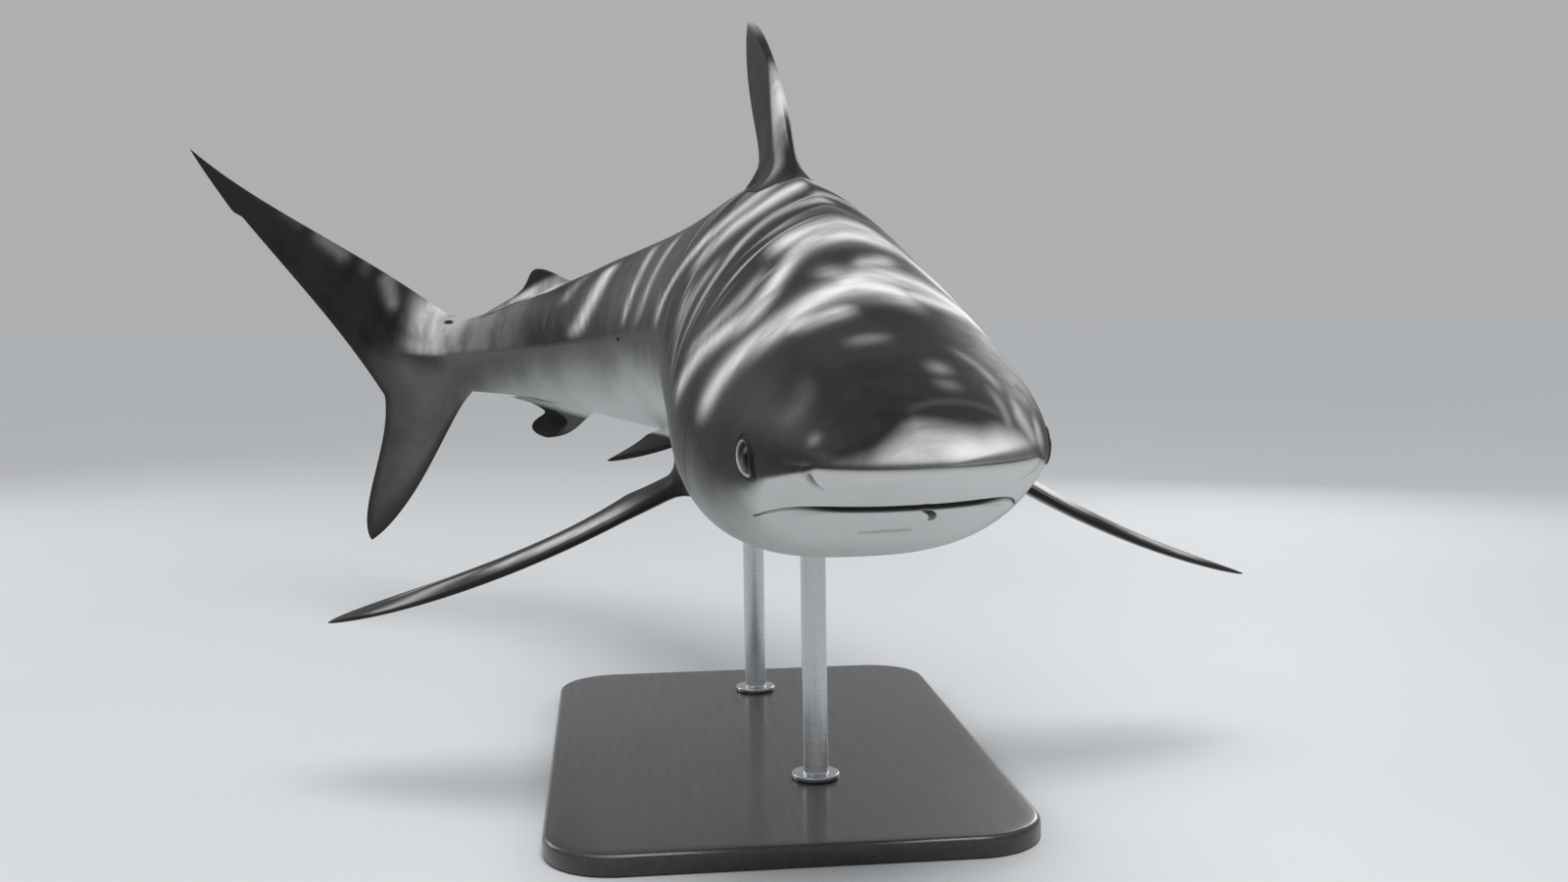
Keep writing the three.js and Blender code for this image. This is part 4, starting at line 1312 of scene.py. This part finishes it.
# ---- materials
class Paint:
    """A procedural material and short ways to add nodes to it."""

    def __init__(self, name, **constants):
        self.material = bpy.data.materials.new(name)
        self.material.use_nodes = True
        self.tree = self.material.node_tree
        self.shader = self.tree.nodes["Principled BSDF"]
        for socket, value in constants.items():
            self.shader.inputs[socket.replace("_", " ")].default_value = value

    def node(self, kind, inputs, **settings):
        made = self.tree.nodes.new("ShaderNode" + kind)
        for key, value in settings.items():
            setattr(made, key, value)
        for socket, value in inputs.items():
            self.put(made.inputs[socket], value)
        return made

    def put(self, socket, value):
        """Feeds a socket from another node, or with a number, three numbers or a colour."""
        if isinstance(value, bpy.types.NodeSocket):
            self.tree.links.new(value, socket)
        else:
            socket.default_value = (*value, 1) if socket.type == "RGBA" else value

    def fact(self, name, output="Fac"):
        return self.node("Attribute", {}, attribute_name=name).outputs[output]

    def place(self):
        return self.node("TexCoord", {}).outputs["Object"]

    def scaled(self, vector, scale):
        return self.node("Mapping", {"Vector": vector, "Scale": scale}).outputs["Vector"]

    def noise(self, vector, scale, detail=3, roughness=0.5, distortion=0):
        inputs = {"Vector": vector, "Scale": scale, "Detail": detail, "Roughness": roughness,
                  "Distortion": distortion}
        return self.node("TexNoise", inputs).outputs["Fac"]

    def math(self, operation, a, b=0.0):
        return self.node("Math", {0: a, 1: b}, operation=operation).outputs[0]

    def product(self, a, b):
        return self.math("MULTIPLY", a, b)

    def step(self, value, low, high, start=0.0, end=1.0):
        """From start, where the value is low, smoothly to end, where it is high."""
        inputs = {"Value": value, "From Min": low, "From Max": high, "To Min": start, "To Max": end}
        return self.node("MapRange", inputs, interpolation_type="SMOOTHSTEP").outputs["Result"]

    def blend(self, share, a, b):
        """Colour a where share is 0 and colour b where it is 1."""
        return self.node("Mix", {0: share, 6: a, 7: b}, data_type="RGBA").outputs[2]

    def relief(self, height, distance, normal=None):
        """A fine relief this many metres deep."""
        inputs = {"Height": height, "Distance": distance, "Strength": 1.0}
        if normal is not None:
            inputs["Normal"] = normal
        return self.node("Bump", inputs).outputs["Normal"]

    def finish(self, color, roughness, normal=None):
        self.put(self.shader.inputs["Base Color"], color)
        self.put(self.shader.inputs["Roughness"], roughness)
        if normal is not None:
            self.put(self.shader.inputs["Normal"], normal)
        return self.material


BELLY_WHITES = (0.58, 0.60, 0.60), (0.67, 0.68, 0.67)
FLANK_GREYS = (0.085, 0.09, 0.083), (0.125, 0.13, 0.12)
BACK_DARKS = (0.010, 0.010, 0.010), (0.021, 0.0205, 0.0195)
BACK_FLECK = (0.045, 0.043, 0.041)
SUNLIGHT = (0.65, 0.645, 0.63)
BORDER_AND_SHADE_DARK = (0.026, 0.023, 0.021)
EYELID = (0.46, 0.46, 0.43)
SHADE_AND_MARK_DARK = (0.018, 0.016, 0.015)


def skin_paint():
    """Dark grey-brown back, olive-grey flank, white belly: a fine-grained satin skin, with pale bands of
    painted light and painted shade in its hollows.
    """
    paint = Paint("shark_skin", Specular_IOR_Level=0.06)
    straight = paint.fact("straight", "Vector")
    cloud = paint.noise(straight, 14, 4, 0.55)
    mottle = paint.noise(straight, 70, 5, 0.6)
    speck = paint.noise(straight, 900, 2, 0.6)
    wander = paint.math("SUBTRACT", cloud, 0.5)
    dark = paint.step(paint.math("ADD", paint.fact("dark"), wander), -0.9, 0.9)
    grey = paint.step(paint.math("ADD", paint.fact("low"), wander), -1.2, 1.2)
    belly = paint.blend(mottle, *BELLY_WHITES)
    flank = paint.blend(mottle, *FLANK_GREYS)
    back = paint.blend(paint.step(cloud, 0.3, 0.7), *BACK_DARKS)
    back = paint.blend(paint.step(mottle, 0.4, 0.8, 0, 0.25), back, BACK_FLECK)

    # The painted light is broken up along the body, and thin painted ripples of light lie between its
    # bands.
    ripple = paint.noise(paint.scaled(straight, (22, 3.2, 3.2)), 1.0, 2, 0.45, 0.25)
    thin = paint.step(paint.math("ABSOLUTE", paint.math("SUBTRACT", ripple, 0.5)), 0.075, 0.0)
    patchy = paint.step(paint.noise(straight, 6, 2), 0.42, 0.6, 0, 0.5)
    thin = paint.product(paint.product(thin, patchy), paint.fact("painted_ripples"))
    streaky = paint.noise(paint.scaled(straight, (34, 14, 14)), 1.0, 4, 0.6)
    broken = paint.step(streaky, 0.34, 0.62, 0.55, 1)
    light = paint.math("MAXIMUM", paint.product(paint.fact("painted_light"), broken), thin)
    back = paint.blend(light, back, SUNLIGHT)

    color = paint.blend(dark, paint.blend(grey, belly, flank), back)
    # Dark borders of the fins and the line round the snout, with painted shade along the tail's muscle
    # edge and, in part, along the paired fins' front edges.
    color = paint.blend(paint.product(paint.fact("margin"), 0.85), color, BORDER_AND_SHADE_DARK)
    color = paint.blend(paint.fact("lid"), color, EYELID)
    # Painted shade in the mouth, nostrils, gill slits, eye sockets and the pit, and the dark spots and
    # the old cuts on the lower lip.
    color = paint.blend(paint.fact("groove"), color, SHADE_AND_MARK_DARK)
    roughness = paint.step(mottle, 0.3, 0.8, 0.42, 0.52)
    grain = paint.noise(paint.scaled(straight, (0.7, 1, 1)), 1500, 2, 0.5)
    soft = paint.relief(mottle, 0.0002)
    normal = paint.relief(paint.math("ADD", grain, speck), 0.00006, soft)
    return paint.finish(color, roughness, normal)


IRIS_OLIVES = (0.004, 0.005, 0.004), (0.016, 0.018, 0.015)
IRIS_RIM = (0.02, 0.02, 0.018)
PUPIL = (0.003, 0.003, 0.003)


def eye_paint():
    """Glossy eye: an upright black pupil in a dark olive iris."""
    paint = Paint("shark_eye", Specular_IOR_Level=0.04, Coat_Weight=0.02, Coat_Roughness=0.05)
    gaze = paint.fact("gaze", "Vector")
    across, _, up = paint.node("SeparateXYZ", {"Vector": gaze}).outputs

    def round_distance(wide, tall):
        """Squared distance from the eye's centre, 1 on an oval of this half width and height."""
        x, y = paint.math("DIVIDE", across, wide), paint.math("DIVIDE", up, tall)
        return paint.math("ADD", paint.math("POWER", x, 2.0), paint.math("POWER", y, 2.0))

    pupil = paint.step(round_distance(0.27, 0.6), 0.85, 1.15)
    streak = paint.noise(paint.scaled(gaze, (9, 1, 3)), 3, 4, 0.6)
    iris = paint.blend(paint.step(streak, 0.35, 0.7), *IRIS_OLIVES)
    iris = paint.blend(paint.step(round_distance(1.0, 1.0), 0.6, 0.95), iris, IRIS_RIM)
    return paint.finish(paint.blend(pupil, PUPIL, iris), paint.step(streak, 0, 1, 0.14, 0.24))


LACQUER_BLACKS = (0.012, 0.012, 0.013), (0.026, 0.025, 0.024)
STEEL_GREYS = (0.52, 0.53, 0.54), (0.60, 0.61, 0.62)
FLOOR_GREYS = (0.56, 0.57, 0.58), (0.60, 0.61, 0.62)


def lacquer_paint():
    """Satin black lacquer with the wood's grain faintly in it."""
    paint = Paint("stand_lacquer", Coat_Weight=0.5, Coat_Roughness=0.18)
    grain = paint.noise(paint.scaled(paint.place(), (60, 4, 60)), 3, 6, 0.6, 0.6)
    color = paint.blend(paint.step(grain, 0.3, 0.7), *LACQUER_BLACKS)
    return paint.finish(color, paint.step(grain, 0.2, 0.8, 0.32, 0.46), paint.relief(grain, 0.0002))


def steel_paint():
    """Steel brushed round the rod."""
    paint = Paint("stand_steel", Metallic=1.0)
    brushed = paint.noise(paint.scaled(paint.place(), (6, 6, 900)), 2, 4, 0.6)
    color = paint.blend(brushed, *STEEL_GREYS)
    return paint.finish(color, paint.step(brushed, 0.2, 0.8, 0.22, 0.38), paint.relief(brushed, 0.00002))


def floor_paint():
    paint = Paint("floor", Specular_IOR_Level=0.3)
    cloud = paint.noise(paint.place(), 1.5, 3)
    return paint.finish(paint.blend(cloud, *FLOOR_GREYS), paint.step(cloud, 0, 1, 0.6, 0.7))


# ---- pieces
FLESH = [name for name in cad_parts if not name.startswith(("stand_", "eye_"))]


def dress(piece, paint, slot, *nodes):
    """Gives a piece its material and its place in the frame."""
    piece.data.materials.append(paint)
    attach(piece, "root")
    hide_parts(*nodes)


dress(make_skin(), skin_paint(), "skin", *FLESH)
eye_finish = eye_paint()
dress(make_eye(1), eye_finish, "eye", "eye_right")
dress(make_eye(-1), eye_finish, "eye", "eye_left")
dress(make_base(), lacquer_paint(), "stand_base", "stand_base")
steel = steel_paint()
for rod_name in ("stand_rod_front", "stand_rod_rear"):
    dress(make_rod(rod_name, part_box("stand_base")[1].z), steel, "stand_rod", rod_name)

# ---- floor, light, camera
FLOOR_HALF = 30.0
FLOOR_CORNERS = [(x * FLOOR_HALF, y * FLOOR_HALF, 0) for x, y in ((-1, -1), (1, -1), (1, 1), (-1, 1))]
floor = mesh_piece("floor", FLOOR_CORNERS, [[0, 1, 2, 3]])
floor.data.materials.append(floor_paint())


def area_light(name, place, target, size, power, color=(1, 1, 1)):
    """A soft square light at place, turned to target."""
    lamp = bpy.data.lights.new(name, "AREA")
    lamp.shape, lamp.size, lamp.energy, lamp.color = "SQUARE", size, power, color
    holder = add_object(name, lamp)
    holder.location = place
    holder.rotation_euler = (Vector(target) - Vector(place)).to_track_quat("-Z", "Y").to_euler()


MIDDLE = (-0.1, 0.0, 0.35)
HEAD = (0, -0.4, 0.35)
area_light("key", (0.3, -1.1, 2.3), HEAD, 1.2, 32)
area_light("rim_right", (-2.2, 1.8, 1.5), MIDDLE, 1.2, 18, (0.95, 0.97, 1.0))
area_light("rim_left", (1.3, 1.9, 1.0), (0, -0.4, 0.4), 0.7, 9, (0.97, 0.98, 1.0))

# An even, very soft light from above keeps the floor and the background alike.
sun = bpy.data.lights.new("overhead", "SUN")
sun.energy, sun.angle = 1.0, math.radians(50)
overhead = add_object("overhead", sun)
overhead.rotation_euler = (math.radians(18), math.radians(-8), 0)

world = bpy.data.worlds.new("studio")
world.use_nodes = True
background = world.node_tree.nodes["Background"].inputs
background["Color"].default_value = (0.42, 0.43, 0.44, 1)
background["Strength"].default_value = 1.0
bpy.context.scene.world = world
bpy.context.scene.view_settings.view_transform = "Standard"

# The camera stands just ahead of the snout and to its right, level with the back.
CAMERA_FROM_SNOUT = Vector((-8.41, -39.45, 4.13)) * PCT
CAMERA_YAW, CAMERA_PITCH, CAMERA_ROLL = [math.radians(a) for a in (-6.23, -4.84, -0.76)]
lens = bpy.data.cameras.new("camera")
lens.sensor_width, lens.lens, lens.clip_start = 36, 36.28, 0.02
camera = add_object("camera", lens)
forward = Vector((
    -math.sin(CAMERA_YAW) * math.cos(CAMERA_PITCH), math.cos(CAMERA_YAW) * math.cos(CAMERA_PITCH),
    math.sin(CAMERA_PITCH),
))
level = forward.cross(Vector((0, 0, 1))).normalized()
tall = level.cross(forward)
right = level * math.cos(CAMERA_ROLL) + tall * math.sin(CAMERA_ROLL)
camera.matrix_world = Matrix.Translation(Vector(SNOUT) + CAMERA_FROM_SNOUT) @ Matrix(
    (right, right.cross(forward), -forward)
).transposed().to_4x4()
bpy.context.scene.camera = camera
